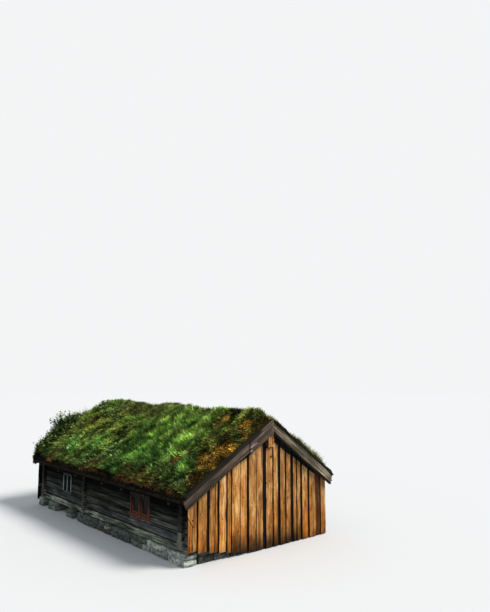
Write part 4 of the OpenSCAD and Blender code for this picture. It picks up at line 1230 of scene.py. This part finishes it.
def build_caps():
    for word, end in ENDS.items():
        low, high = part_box("cap_boards_" + word)
        width, mid = high.y - low.y, middle_of("cap_boards_" + word)[1]
        thickness = high.z - APEX_Z
        ring = section(width, thickness, 0.005, 2)
        front_edge = smooth(width / 2 - 0.02, width / 2 - 0.006, ring[:, 0] * end)
        pile = Pile()
        for side in (LEFT, RIGHT):
            x1 = low.x if side == LEFT else high.x
            z0, z1 = APEX_Z + thickness / 2, float(roof_z(x1)) + thickness / 2
            x = np.linspace(RIDGE_X, x1, CAP_STEPS)
            pale = smooth(*CAP_BRIGHT, x) if side == LEFT else np.zeros(CAP_STEPS)
            edge = blend((0.4, 0.42, 0.42), (3.3, 3.2, 3.2), pale)[:, None]
            tint = blend((0.22, 0.22, 0.2), edge, np.broadcast_to(front_edge, (CAP_STEPS, len(ring))))
            bar(pile, (RIDGE_X - side * 0.004, mid, z0), (x1, mid, z1), Y_WAY, Z_WAY, ring, CAP_STEPS, 0.004,
                0.003, tint, 1)
        pile.piece("caps_" + word, [VERGE[LEFT], END_GREY], ["cap_boards_" + word], flat=True)


# Logs
def log_tone_and_high_shade(z, rng):
    """Lower logs are washed paler; the upper logs darken, partly by weathering and partly as painted shade
    under the eave and roof.
    """
    tone = np.interp(z, [0.3, 0.5, 0.7, 0.95, 1.15, 1.3], [2.5, 2.4, 1.75, 0.7, 0.34, 0.12])
    return tone * rng.uniform(0.8, 1.25) * np.array([1.0, rng.uniform(0.98, 1.04), rng.uniform(0.9, 1.04)])


# Pale places on the left wall: place along, height, half length, half height and tone
WALL_SPOTS = [
    (-1.25, 0.73, 0.6, 0.055, 1.7), (-4.0, 0.725, 0.44, 0.014, 4.6), (-3.2, 0.575, 1.2, 0.011, 3.0),
    (-4.42, 0.5, 0.035, 0.17, 4.2), (-3.45, 0.34, 1.0, 0.05, 3.4), (3.65, 0.65, 0.28, 0.03, 2.8),
    (0.15, 0.31, 0.5, 0.02, 3.6), (-1.2, 0.36, 0.5, 0.04, 2.6), (-3.54, 1.46, 0.2, 0.018, 4.0),
    (3.4, 0.36, 0.7, 0.05, 3.6), (2.2, 0.34, 0.6, 0.03, 3.0), (-2.6, 0.63, 0.7, 0.01, 2.4),
    (1.7, 0.58, 0.6, 0.012, 2.6), (0.4, 0.63, 0.8, 0.01, 2.4), (-0.2, 0.5, 0.9, 0.012, 2.6),
    (-3.9, 0.5, 0.5, 0.01, 3.2), (2.9, 0.5, 0.5, 0.012, 2.6), (-3.1, 0.82, 0.5, 0.01, 2.0),
    (3.2, 0.82, 0.6, 0.012, 2.0)]
# Marks the joint between sill and stone, which is level
LEVEL = None
# Extra points up each face of a long wall's log, and the step along it
LOG_DETAIL = {LEFT: (7, 0.13), RIGHT: (3, 0.17)}


def wall_spots(y, z):
    """Share and tone of the pale places at points of the left wall."""
    share, tone = np.zeros(np.shape(z)), np.ones(np.shape(z))
    ragged = 0.35 * flat_noise(y, z * 8, 0.3, 2, 97)
    for sy, sz, length, height, spot_tone in WALL_SPOTS:
        here = smooth(1.3, 0.6, np.hypot((y - sy) / length, (z - sz) / height) + ragged)
        tone = np.where(here > share, spot_tone, tone)
        share = np.maximum(share, here)
    return share, tone


def course_line(level, y, seed):
    """How far the joint at a height strays from level, along the wall."""
    if level is LEVEL:
        return np.zeros(np.shape(y))
    return 0.022 * flat_noise(y, level * 7.7, 1.5, 3, seed)


def wall_log(pile, side, rect, thickness, tone):
    """One hewn log of a long wall; its joints follow those of its neighbours."""
    y0, y1, z0, z1 = rect
    height = z1 - z0
    face_points, step = LOG_DETAIL[side]
    ring = section(thickness, height - 0.004, min(0.026, height * 0.25), face_points)
    y = np.linspace(y0, y1, max(5, int((y1 - y0) / step)))
    low, high = (course_line(LEVEL if z == STONE_H else z, y, 5 + side) for z in (z0, z1))
    share = ring[:, 1] / height + 0.5
    lift = low[:, None] * (1 - share) + high[:, None] * share
    push = uneven([y[:, None] / 0.45, ring[:, 0] / 0.07, ring[:, 1] / 0.07], lift.shape, 7.3, 3)
    face = np.sign(ring[:, 0]) * (np.abs(ring[:, 0]) > thickness / 2 - 0.03)
    x = side * WALL_MID + ring[:, 0] + face * push * 0.013
    z = (z0 + z1) / 2 + ring[:, 1] + lift
    along = np.broadcast_to(y[:, None], x.shape)
    # Painted shade in the grooves between logs: each log darkens towards its upper and lower edge
    clear_of_groove_shade = smooth(0.5, 0.4, np.abs(ring[:, 1]) / height)
    pale = (1 + 0.4 * push) * (0.12 + 0.88 * clear_of_groove_shade)
    tints = tone * pale[..., None]
    if side == LEFT:
        tints = tints * (0.85 + 0.6 * smooth(-1.5, -3.2, along) * smooth(1.4, 0.7, z))[..., None]
        # Painted shadow at the far corner: the logs above the sill darken towards the far end
        if z0 > STONE_H:
            tints = tints * (1 - 0.88 * smooth(HEAD_Y - 0.3, HEAD_Y - 0.2, along))[..., None]
        share, spot_tone = wall_spots(along, z)
        tints = blend(tints, spot_tone[..., None] * np.array([1.0, 1.0, 0.95]), share)
    loft(pile, np.stack([x, along, z], -1), tints, 1)


def build_long_walls():
    near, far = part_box("window_near_frame"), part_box("window_far_frame")
    holes = {LEFT: [(w[0].y, w[1].y, w[0].z, w[1].z) for w in (near, far)], RIGHT: []}
    for side, word in SIDES:
        rng = np.random.default_rng(WALL_SEED + side)
        limit = float(roof_z(side * WALL_MID)) - LINING - RAFTER_ROOM
        for first, last, name, node, slot in ((0, 0, "sill_log_", "sill_", "sill_log"),
                                              (1, WALL_COURSES, "wall_logs_", "log_wall_", "weathered_log")):
            pile = Pile()
            for n in range(first, last + 1):
                z0 = STONE_H + n * LOG_H
                z1 = min(z0 + LOG_H, limit)
                thickness = SILL_T if n == 0 else LOG_T
                tone = log_tone_and_high_shade(z0, rng)
                reach = HEAD_Y - rng.uniform(0, 0.015)
                for rect in cut_out([(-reach, HEAD_Y - rng.uniform(0, 0.015), z0, z1)], holes[side]):
                    wall_log(pile, side, rect, thickness, tone)
            stuff = SILL_LOG_Y if first == 0 else LOG_Y
            pile.piece(name + word, [stuff, END_GREY], [node + word])


# The heads of the lowest front gable logs are washed pale
HEAD = 0.55
PALE_HEAD = 1.8
PALE_HEAD_LOW, PALE_HEAD_HIGH = 0.3, 0.62
# The doorway in the cross wall: from and to, across and in height
DOORWAY = (-0.16, 0.60, GABLE_Z, GABLE_Z + 1.6)


def cross_log(pile, z0, z1, y, thickness, holes, rng):
    """A log across the house whose ends follow the roof."""
    tone = log_tone_and_high_shade(z0, rng)
    ends = []
    for side in (LEFT, RIGHT):
        on_roof = RIDGE_X + side * (APEX_Z - LINING - np.array([z0, z1])) / fall(side)
        ends.append(side * np.minimum(side * on_roof, HEAD_X - rng.uniform(0, 0.015)))
    left_end, right_end = ends
    if min(right_end) - max(left_end) < 0.05:
        return
    for x0, x1, low, high in cut_out([(-EAVE_X, EAVE_X, z0, z1)], holes):
        ring = section(thickness, high - low + 0.006, min(0.03, (high - low) * 0.3), 2)
        mid = (low + high) / 2
        z = mid + ring[:, 1]
        a = np.maximum(np.interp(z, [z0, z1], left_end), x0)
        b = np.minimum(np.interp(z, [z0, z1], right_end), x1)
        if (b - a).min() < 0.02:
            continue
        t = np.linspace(0, 1, max(4, int((b - a).max() / 0.16)))[:, None]
        x = a + (b - a) * t
        push = uneven([x / 0.5, ring[:, 0] / 0.09, ring[:, 1] / 0.09], x.shape, 4.7, 2) * 0.008
        away = ring / np.linalg.norm(ring, axis=1, keepdims=True)
        rings = np.stack([x, y + ring[:, 0] + push * away[:, 0], z + push * away[:, 1]], -1)
        washed = y < FRONT + LOG_T * 4 and PALE_HEAD_LOW < z0 < PALE_HEAD_HIGH
        loft(pile, rings, tone, 1, tone * (PALE_HEAD if washed else HEAD))


def build_cross_walls():
    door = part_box("door_frame")
    top_course = int((APEX_Z - GABLE_Z) / LOG_H)

    def courses(pile, first, y, hole, rng):
        for n in range(first, top_course + 1):
            z0 = GABLE_Z + n * LOG_H
            cross_log(pile, z0, min(z0 + LOG_H, APEX_Z - LINING - 0.02), y, LOG_T, hole, rng)

    for word, end in ENDS.items():
        rng = np.random.default_rng(GABLE_SEED + end)
        y = (FRONT + GABLE_MID) if end < 0 else (BACK - GABLE_MID)
        pile = Pile()
        cross_log(pile, GABLE_Z, GABLE_Z + LOG_H, y, SILL_T, [], rng)
        pile.piece("sill_log_" + word, [SILL_LOG_X, END_GREY], ["sill_" + word])
        pile = Pile()
        courses(pile, 1, y, [(door[0].x, door[1].x, door[0].z, door[1].z)] if end > 0 else [], rng)
        pile.piece("gable_logs_" + word, [LOG_X, END_GREY], ["log_wall_" + word])
    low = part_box("log_wall_cross")[0]
    pile = Pile()
    y, z = middle_of("log_wall_cross")[1], (low.z + GABLE_Z) / 2
    courses(pile, 0, y, [DOORWAY], np.random.default_rng(CROSS_SEED))
    bar(pile, (-WALL_MID + LOG_T / 2, y, z), (WALL_MID - LOG_T / 2, y, z), Y_WAY, Z_WAY,
        section(0.108, GABLE_Z - low.z, 0.01, 1), 24, 0.004)
    pile.piece("cross_wall_logs", [LOG_X, END_GREY], ["log_wall_cross"])


# Corners round each kind of round log, and steps along it
EAVE_LOG, SLEEPER = (14, 60), (16, 30)
PURLIN_STEPS = 40


def circle(size, corners):
    """Outline of a round log."""
    angle = np.arange(corners) * 2 * math.pi / corners
    return np.stack([np.cos(angle), np.sin(angle)], 1) * size / 2


def build_round_logs():
    corners, steps = EAVE_LOG
    for word in ("left", "right"):
        low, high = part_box("eave_log_" + word)
        x, _, z = middle_of("eave_log_" + word)
        pile = Pile()
        # The eave log and its ends are tinted dark: painted shade under the eave
        bar(pile, (x, low.y, z), (x, high.y, z), X_WAY, Z_WAY, circle(high.z - low.z, corners), steps, 0.008,
            0.006, (0.35, 0.36, 0.4), 1, (0.2, 0.2, 0.2), (0.4, 0.05))
        pile.piece("eave_holder_" + word, [MOSSY_LOG_IN_SHADE, END_GREY], ["eave_log_" + word])
    low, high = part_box("floor_sleepers")
    corners, steps = SLEEPER
    pile = Pile()
    d = high.z - low.z
    z = low.z + d / 2
    for y in (low.y + d / 2, CROSS_Y, high.y - d / 2):
        bar(pile, (low.x, y, z), (high.x, y, z), Y_WAY, Z_WAY, circle(d, corners), steps, 0.006, 0.0,
            (1.1, 1.05, 1.0), 1, (3.0, 2.8, 2.3), (0.4, 0.06))
    pile.piece("sleeper_logs", [LOG_X, END_GREY], ["floor_sleepers"])
    low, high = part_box("ridge_purlin")
    w, h = high.x - low.x, high.z - low.z
    right = [(w * 0.38, -h / 2), (w / 2, -h / 2 + 0.03), (w / 2, h * 0.2), (w * 0.46, h * 0.36),
             (w * 0.3, h * 0.46)]
    left = [(-x, z) for x, z in reversed(right)]
    outline = np.array(right[1:] + [(0, h / 2)] + left + right[:1])
    x, _, z = middle_of("ridge_purlin")
    pile = Pile()
    bar(pile, (x, low.y, z), (x, high.y, z), X_WAY, Z_WAY, outline, PURLIN_STEPS, 0.006, 0.0, PLAIN, 1,
        PLAIN, (0.4, 0.08))
    y = low.y - PROUD
    # Dark strips on the purlin's end: the first, at its left edge, is painted shade of a recess; the other
    # two are cracks
    for x0, x1, z0, z1, tint in ((low.x, low.x + 0.05, low.z + 0.02, high.z - 0.06, (0.05, 0.09, 0.2)),
                                 (x + 0.05, x + 0.07, low.z + 0.06, high.z - 0.16, (0.16, 0.14, 0.16)),
                                 (x - 0.02, x - 0.01, low.z + 0.01, high.z - 0.2, (0.3, 0.25, 0.25))):
        crack = [(x0, y, z0), (x1, y, z0), (x1, y, z1), (x0, y, z1)]
        pile.add(crack, np.array([[0, 1, 2, 3]]), tint)
    pile.piece("ridge_beam", [PURLIN_WOOD, PURLIN_END], ["ridge_purlin"])


# Dry stone: the lowest height, half the depth of a row, and the play between layers
STONE_FLOOR = 0.003
STONE_HALF = 0.175
STONE_PLAY = 0.006
LAYER_H = 0.15
STONE_LENGTHS = (0.3, 1.0)
# A stone shorter than this joins the one before it, and a shorter rest is left open
SHORTEST_STONE, SHORTEST_REST = 0.2, 0.05
# How round a block is, how far its faces lean, and how high its lumps are
ROUNDNESS, STONE_LEAN, STONE_LUMPS = 0.24, 0.12, 0.022
# The left row: from and to past the cross wall and before the far end, with gaps between the piers
NEAR_ROW_END = 0.37
CROSS_PIER = (0.68, 1.24)
LAST_PIER = (1.502, 0.902)
END_PIER = 0.422
LEFT_POINTS, PLAIN_POINTS = 7, 5
# A small tan stone that stands out of the left row: its lowest and highest corner, and its tint
TAN_STONE = [(-2.485, -0.72, 0.08), (-2.35, -0.44, 0.22)]
TAN = (4.4, 3.2, 2.3)


def rock(pile, low, high, tint, m):
    """A worn block of stone in the given box, with m points along each edge."""
    low, high = np.asarray(low, float), np.asarray(high, float)
    mid = (low + high) / 2
    u = np.linspace(-1, 1, m)
    a, b = np.meshgrid(u, u, indexing="ij")
    a, b, one = a.ravel(), b.ravel(), np.ones(m * m)
    SEED[0] += 1
    for axis in range(3):
        for way in (-1, 1):
            p = np.roll(np.stack([one * way, a, b], 1), axis, axis=1)
            p = p / np.linalg.norm(p, axis=1, keepdims=True) ** ROUNDNESS
            lean = STONE_LEAN * fractal(np.full((1, 3), SEED[0] * 1.7), 1.0, 1, 91)[0]
            q = mid + p * (high - low) / 2
            q[:, 2] = np.clip(q[:, 2] + lean * (q - mid)[:, 1], low[2], high[2] + 0.01)
            lumps = STONE_LUMPS * fractal(q + SEED[0], 0.2, 3, 90)
            q = q + p / np.linalg.norm(p, axis=1, keepdims=True) * lumps[:, None]
            q[:, 2] = np.maximum(q[:, 2], STONE_FLOOR)
            pile.add(q, grid_faces(m, m, turned=way < 0), tint)


def stone_row(pile, start, stop, mid, top, rng, tone_at, along_y, m):
    """Stones of mixed lengths in two or three layers, from start to stop in a row along Y or X."""
    z0, z1 = STONE_PLAY, top - STONE_PLAY
    layers = max(1, round((z1 - z0) / LAYER_H))
    edges = np.linspace(z0, z1, layers + 1)
    edges[1:-1] += rng.uniform(-0.03, 0.03, layers - 1)
    for under, over in zip(edges, edges[1:]):
        at = start
        while at < stop - SHORTEST_REST:
            length = min(rng.uniform(*STONE_LENGTHS), stop - at)
            if stop - (at + length) < SHORTEST_STONE:
                length = stop - at
            lean = STONE_HALF * (1 + 0.28 * (1 - (under + over) / 2 / max(z1, 0.01)))
            jut = rng.uniform(-0.025, 0.012, 2)
            low = [mid - lean - jut[0], at + 0.002, under - STONE_PLAY]
            high = [mid + lean + jut[1], at + length - 0.002, over + STONE_PLAY]
            tone = rng.uniform(0.55, 1.4) * tone_at(at)
            tint = tone * np.array([1.0, rng.uniform(0.98, 1.04), rng.uniform(0.93, 1.02)])
            if not along_y:
                low, high = [low[1], low[0], low[2]], [high[1], high[0], high[2]]
            rock(pile, low, high, tint, m)
            at += length


GABLE_SIDE_TONE = 1.1


def long_side_tone(y):
    """The stones are palest near the front corner, and paler again towards the far end."""
    return 1.05 + 3.0 * smooth(-2.4, -3.4, y) + 1.1 * smooth(1.0, 3.0, y)


def build_foundations():
    for side, word in SIDES:
        rng = np.random.default_rng(LONG_STONE_SEED + side)
        low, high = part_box("foundation_" + word)
        pile = Pile()
        stretches, points = [(low.y, high.y)], PLAIN_POINTS
        if side == LEFT:
            points = LEFT_POINTS
            stretches = [(low.y, CROSS_Y + NEAR_ROW_END), (CROSS_Y + CROSS_PIER[0], CROSS_Y + CROSS_PIER[1]),
                         (high.y - LAST_PIER[0], high.y - LAST_PIER[1]), (high.y - END_PIER, high.y)]
        x = middle_of("foundation_" + word)[0]
        for y0, y1 in stretches:
            stone_row(pile, y0, y1, x, high.z, rng, long_side_tone, True, points)
        if side == LEFT:
            rock(pile, *TAN_STONE, TAN, PLAIN_POINTS)
        pile.piece("stones_" + word, [STONE], ["foundation_" + word])
    for word, end in ENDS.items():
        rng = np.random.default_rng(GABLE_STONE_SEED + end)
        low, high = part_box("foundation_" + word)
        pile = Pile()
        y = middle_of("foundation_" + word)[1]
        stone_row(pile, low.x, high.x, y, high.z, rng, lambda x: GABLE_SIDE_TONE, False, PLAIN_POINTS)
        pile.piece("stones_" + word, [STONE], ["foundation_" + word])


# Windows
FRAME_STEPS = 8


def ring_frame(pile, x, y0, y1, z0, z1, member, depth, middle=None, rails=(0.9, 0.05), lines=False):
    """Rails and uprights round an opening in the left wall; painted shade, with some dirt, darkens the top
    and the reveals.
    """
    ring = section(depth, member, 0.005, 1)
    t = np.linspace(0, 1, FRAME_STEPS)
    deep = smooth(-depth / 2 + 0.012, depth / 2, ring[:, 0])
    shade = blend(PLAIN, (0.25, 0.25, 0.27), deep)[None] * np.ones((FRAME_STEPS, 1, 1))
    upright_shade = blend(PLAIN, (0.08, 0.09, 0.1), smooth(0.1, 0.95, t))[:, None]
    if lines:
        # The far window's uprights are pale along the middle of the face and dark at its edges, with painted
        # shade towards the top
        worn = np.where(np.abs(ring[:, 1]) < member / 4, 2.6, 0.25)[None, :, None]
        upright_shade = blend(PLAIN, (0.3, 0.3, 0.3), smooth(0.5, 1.0, t))[:, None] * worn
    for z, tone in ((z0 + member / 2, rails[0]), (z1 - member / 2, rails[1])):
        bar(pile, (x, y0, z), (x, y1, z), X_WAY, Z_WAY, ring, FRAME_STEPS, 0.0015, 0, shade * tone)
    for y in [y0 + member / 2, y1 - member / 2] + ([middle] if middle else []):
        foot, head = (x, y, z0 + member), (x, y, z1 - member)
        bar(pile, foot, head, X_WAY, Y_WAY, ring, FRAME_STEPS, 0.0015, 0, shade * upright_shade)


FRAME_MEMBER = 0.08
SASH_MEMBER = 0.0745
# Half the gap between the two sashes, in which the frame's middle post stands
SASH_GAP = 0.0408


def build_windows():
    for name, node, stuff, slot, rails in (
            ("red_frame", "window_near_frame", RED, "red_paint", (1.0, 0.05)),
            ("blue_frame", "window_far_frame", BLUE, "blue_paint", (0.25, 0.1))):
        low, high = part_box(node)
        pile = Pile()
        x, mid, _ = middle_of(node)
        ring_frame(pile, x, low.y, high.y, low.z, high.z, FRAME_MEMBER, high.x - low.x, mid, rails,
                   stuff == BLUE)
        pile.piece(name, [stuff], [node], flat=True)
    low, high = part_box("window_near_sashes")
    x, mid, _ = middle_of("window_near_sashes")
    pile = Pile()
    for y0, y1 in ((low.y, mid - SASH_GAP), (mid + SASH_GAP, high.y)):
        ring_frame(pile, x, y0, y1, low.z, high.z, SASH_MEMBER, high.x - low.x)
    pile.piece("red_sashes", [RED], ["window_near_sashes"], flat=True)


def set_material(names, material):
    """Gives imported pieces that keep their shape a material."""
    for name in names:
        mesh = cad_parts[name].data
        mesh.materials.clear()
        mesh.materials.append(material)


BOARDS_A_SIDE, BOARD_STEPS = 13, 24
# The lowest roof board is painted dark, as shade under the sod's lip
LAST_BOARD_SHADE = 0.06
BARK_GRID = (8, 9)


def build_roof_boards():
    for side, word in SIDES:
        rng = np.random.default_rng(BOARD_SEED + side)
        width = run(side) / BOARDS_A_SIDE
        slope = math.atan(fall(side))
        tilt = np.array([side * math.cos(slope), 0, -math.sin(slope)])
        normal = np.array([side * math.sin(slope), 0, math.cos(slope)])
        ring = section(width / math.cos(slope) - 0.006, ROOF_BOARD * math.cos(slope) - 0.001, 0.003, 1)
        pile = Pile()
        for n in range(BOARDS_A_SIDE):
            x = RIDGE_X + side * (n + 0.5) * width
            z = float(roof_z(x)) + BOARDS_TOP - ROOF_BOARD / 2
            tone = rng.uniform(0.7, 1.2) * (LAST_BOARD_SHADE if n == BOARDS_A_SIDE - 1 else 1)
            bar(pile, (x, -VERGE_Y, z), (x, VERGE_Y, z), tilt, normal, ring, BOARD_STEPS, 0.0015, 0.0,
                (tone,) * 3, 1)
        pile.piece("sheathing_" + word, [INNER_Y, END_GREY], ["roof_boards_" + word], flat=True)
        build_bark(side, word, rng)


def build_bark(side, word, rng):
    """Overlapping sheets of bark whose lower edge curls out under the sod, on one plain slab."""
    low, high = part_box("bark_" + word)
    edge = abs(low.x if side == LEFT else high.x)
    rows, cols = BARK_GRID
    down, along = np.meshgrid(np.linspace(0, 1, rows), np.linspace(0, 1, cols), indexing="ij")
    pile = Pile()
    y = -VERGE_Y
    while y < VERGE_Y:
        length = min(rng.uniform(0.35, 0.7), VERGE_Y - y + 0.001)
        hang_out = edge + 0.012 + 0.014 * flat_noise(along * length + y, down * 0, 0.15, 2, 7)
        x = side * (hang_out * down + (edge - 0.5) * (1 - down))
        curl = 0.003 * (down > 0.9) - 0.02 * smooth(edge - 0.03, edge + 0.03, np.abs(x))
        z = roof_z(x) + BOARDS_TOP + 0.004 + curl
        points = np.stack([x, y + along * length * 1.03, z + 0.002 * rng.random()], -1).reshape(-1, 3)
        points[:, 1] = np.minimum(points[:, 1], VERGE_Y)
        # Painted shade: the bark under the sod's lip is near black
        tone = rng.uniform(0.008, 0.02)
        pile.add(points, grid_faces(rows, cols, turned=side == LEFT), (tone, tone * 1.1, tone * 1.4))
        y += length
    far = side * (edge - 0.02)
    outline = ((RIDGE_X, 0.001), (far, 0.001), (far, 0.009), (RIDGE_X, 0.009))
    slab = [[(x, end, float(roof_z(x)) + BOARDS_TOP + lift) for x, lift in outline]
            for end in (-VERGE_Y, VERGE_Y)]
    loft(pile, slab, (0.15, 0.14, 0.13))
    pile.piece("bark_sheets_" + word, [BARK], ["bark_" + word])


# Light, floor and camera
CAMERA_PLACE = (-10.842, FRONT - 11.883, 4.596)
CAMERA_HEADING = 40.571
CAMERA_TILT = 7.148
CAMERA_LENS_PIXELS = 571.8
PICTURE_HEIGHT = 612
SUN_COURSE = (-0.4, 0.52, -0.75)
SUN_STRENGTH = 3.0
SUN_WIDTH = 22
SUN_COLOUR = (1.0, 0.98, 0.95)
# Colours of the sky and the floor as the camera sees them, and for the light that they give
SKY_COLOURS = (0.9, 0.915, 0.92), (0.44, 0.475, 0.52)
FLOOR_COLOURS = (0.78, 0.78, 0.77), (0.22, 0.22, 0.21)
SENSOR = 36.0
FLOOR = 120


def build_camera():
    data = bpy.data.cameras.new("camera")
    data.sensor_width = SENSOR
    data.lens = CAMERA_LENS_PIXELS / PICTURE_HEIGHT * SENSOR
    data.clip_end = 500
    camera = new_object("camera", data)
    camera.location = CAMERA_PLACE
    camera.rotation_euler = (math.radians(90 + CAMERA_TILT), 0, math.radians(-CAMERA_HEADING))
    bpy.context.scene.camera = camera


def seen_or_lit(tree, seen, lit):
    """A colour that camera, glossy and clear rays see, and another for the light it gives."""
    path = tree.nodes.new("ShaderNodeLightPath")
    share = path.outputs["Is Camera Ray"]
    for ray in ("Is Glossy Ray", "Is Transmission Ray"):
        either = tree.nodes.new("ShaderNodeMath")
        either.operation = "MAXIMUM"
        tree.links.new(share, either.inputs[0])
        tree.links.new(path.outputs[ray], either.inputs[1])
        share = either.outputs[0]
    mix = tree.nodes.new("ShaderNodeMix")
    mix.data_type = "RGBA"
    tree.links.new(share, mix.inputs["Factor"])
    mix.inputs[6].default_value = (*lit, 1)
    mix.inputs[7].default_value = (*seen, 1)
    return mix.outputs[2]


def build_stage():
    scene = bpy.context.scene
    scene.view_settings.view_transform = "Standard"
    world = bpy.data.worlds.new("world")
    scene.world = world
    world.use_nodes = True
    sky = world.node_tree.nodes["Background"]
    colour = seen_or_lit(world.node_tree, *SKY_COLOURS)
    world.node_tree.links.new(colour, sky.inputs["Color"])
    floor_data = bpy.data.meshes.new("floor")
    corners = [(-FLOOR, -FLOOR, 0), (FLOOR, -FLOOR, 0), (FLOOR, FLOOR, 0), (-FLOOR, FLOOR, 0)]
    floor_data.from_pydata(corners, [], [(0, 1, 2, 3)])
    floor = new_object("floor", floor_data)
    pale = bpy.data.materials.new("pale_floor")
    pale.use_nodes = True
    tree = pale.node_tree
    surface = tree.nodes["Principled BSDF"]
    surface.inputs["Roughness"].default_value = 1.0
    surface.inputs["Specular IOR Level"].default_value = 0.0
    tree.links.new(seen_or_lit(tree, *FLOOR_COLOURS), surface.inputs["Base Color"])
    floor_data.materials.append(pale)
    sun = bpy.data.lights.new("sun", "SUN")
    sun.energy = SUN_STRENGTH
    sun.angle = math.radians(SUN_WIDTH)
    sun.color = SUN_COLOUR
    lamp = new_object("sun", sun)
    lamp.rotation_euler = Vector(SUN_COURSE).to_track_quat("-Z", "Y").to_euler()


# Dark, middle and light tones of each wood
GOLD = (0.13, 0.04, 0.01), (0.6, 0.245, 0.057), (1.0, 0.62, 0.23)
OLD_LEFT = (0.018, 0.013, 0.01), (0.042, 0.031, 0.023), (0.085, 0.066, 0.05)
OLD_RIGHT = (0.018, 0.014, 0.011), (0.045, 0.037, 0.028), (0.09, 0.075, 0.055)
PALE = (0.03, 0.026, 0.019), (0.11, 0.096, 0.066), (0.34, 0.3, 0.2)
LOG = (0.017, 0.018, 0.018), (0.042, 0.045, 0.041), (0.11, 0.112, 0.097)
SILL = (0.012, 0.013, 0.012), (0.075, 0.082, 0.068), (0.3, 0.32, 0.27)
# The eave log: mossy wood made near black by painted shade under the eave
MOSSY_IN_SHADE = (0.004, 0.004, 0.004), (0.01, 0.011, 0.011), (0.026, 0.027, 0.026)
ORANGE = (0.1, 0.05, 0.02), (0.24, 0.11, 0.035), (0.38, 0.18, 0.06)
INNER = (0.04, 0.028, 0.018), (0.1, 0.07, 0.045), (0.17, 0.125, 0.085)
DOOR = (0.05, 0.035, 0.022), (0.13, 0.09, 0.055), (0.24, 0.17, 0.11)
RAFTER = (0.012, 0.011, 0.01), (0.035, 0.032, 0.028), (0.07, 0.065, 0.058)

SLOPE_LEFT, SLOPE_RIGHT = math.atan(FALL_LEFT), -math.atan(FALL_RIGHT)
GABLE_BOARD = wood("gable_board_wood", "z", *GOLD, grain=30.0, crack=0.9, knots=0.9, stain=0.55)
VERGE = {LEFT: wood("verge_wood_left", "x", *OLD_LEFT, turn=SLOPE_LEFT, crack=0.8),
         RIGHT: wood("verge_wood_right", "x", *OLD_RIGHT, turn=SLOPE_RIGHT, crack=0.8)}
VERGE_PALE = wood("verge_wood_pale", "x", *PALE, grain=22.0, turn=SLOPE_RIGHT, crack=0.9)
LOG_Y, LOG_X = hewn("log_wood_y", "y", *LOG), hewn("log_wood_x", "x", *LOG)
SILL_LOG_Y, SILL_LOG_X = hewn("sill_wood_y", "y", *SILL), hewn("sill_wood_x", "x", *SILL)
MOSSY_LOG_IN_SHADE = hewn("mossy_log_in_shade", "y", *MOSSY_IN_SHADE, moss=0.5)
PURLIN_WOOD = wood("purlin_wood", "y", *ORANGE, grain=24.0)
PURLIN_END = end_grain("purlin_end_grain", (0.46, 0.18, 0.045), (1.0, 0.5, 0.16))
END_GREY = end_grain("grey_end_grain", (0.035, 0.033, 0.03), (0.11, 0.105, 0.095))
INNER_Y = wood("inner_wood_y", "y", *INNER, knots=0.5)
STONE = stone_stuff()
BARK = bark_stuff()
RED = paint_stuff("red_paint", (0.19, 0.054, 0.027), (0.09, 0.03, 0.018), (0.04, 0.032, 0.027))
BLUE = paint_stuff("blue_paint", (0.24, 0.31, 0.29), (0.16, 0.22, 0.21), (0.1, 0.1, 0.09))

build_camera()
build_stage()
build_roof()
build_cladding()
build_verges()
build_caps()
build_long_walls()
build_cross_walls()
build_round_logs()
build_foundations()
build_windows()
build_roof_boards()

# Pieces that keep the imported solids' shape
set_material(["floor_planks", "purlin_left", "purlin_right"],
             wood("inner_wood_plain", "y", *INNER, tinted=False, knots=0.5))
set_material(["rafters_left", "rafters_right"], wood("rafter_wood", "x", *RAFTER, tinted=False))
set_material(["cladding_rails_front", "cladding_rails_back"],
             wood("inner_wood_x", "x", *INNER, tinted=False, knots=0.5))
set_material(["door_frame", "door_leaf"], wood("door_planks", "z", *DOOR, tinted=False, knots=0.5, stain=0.4))
set_material(["window_glass"], glass_stuff())
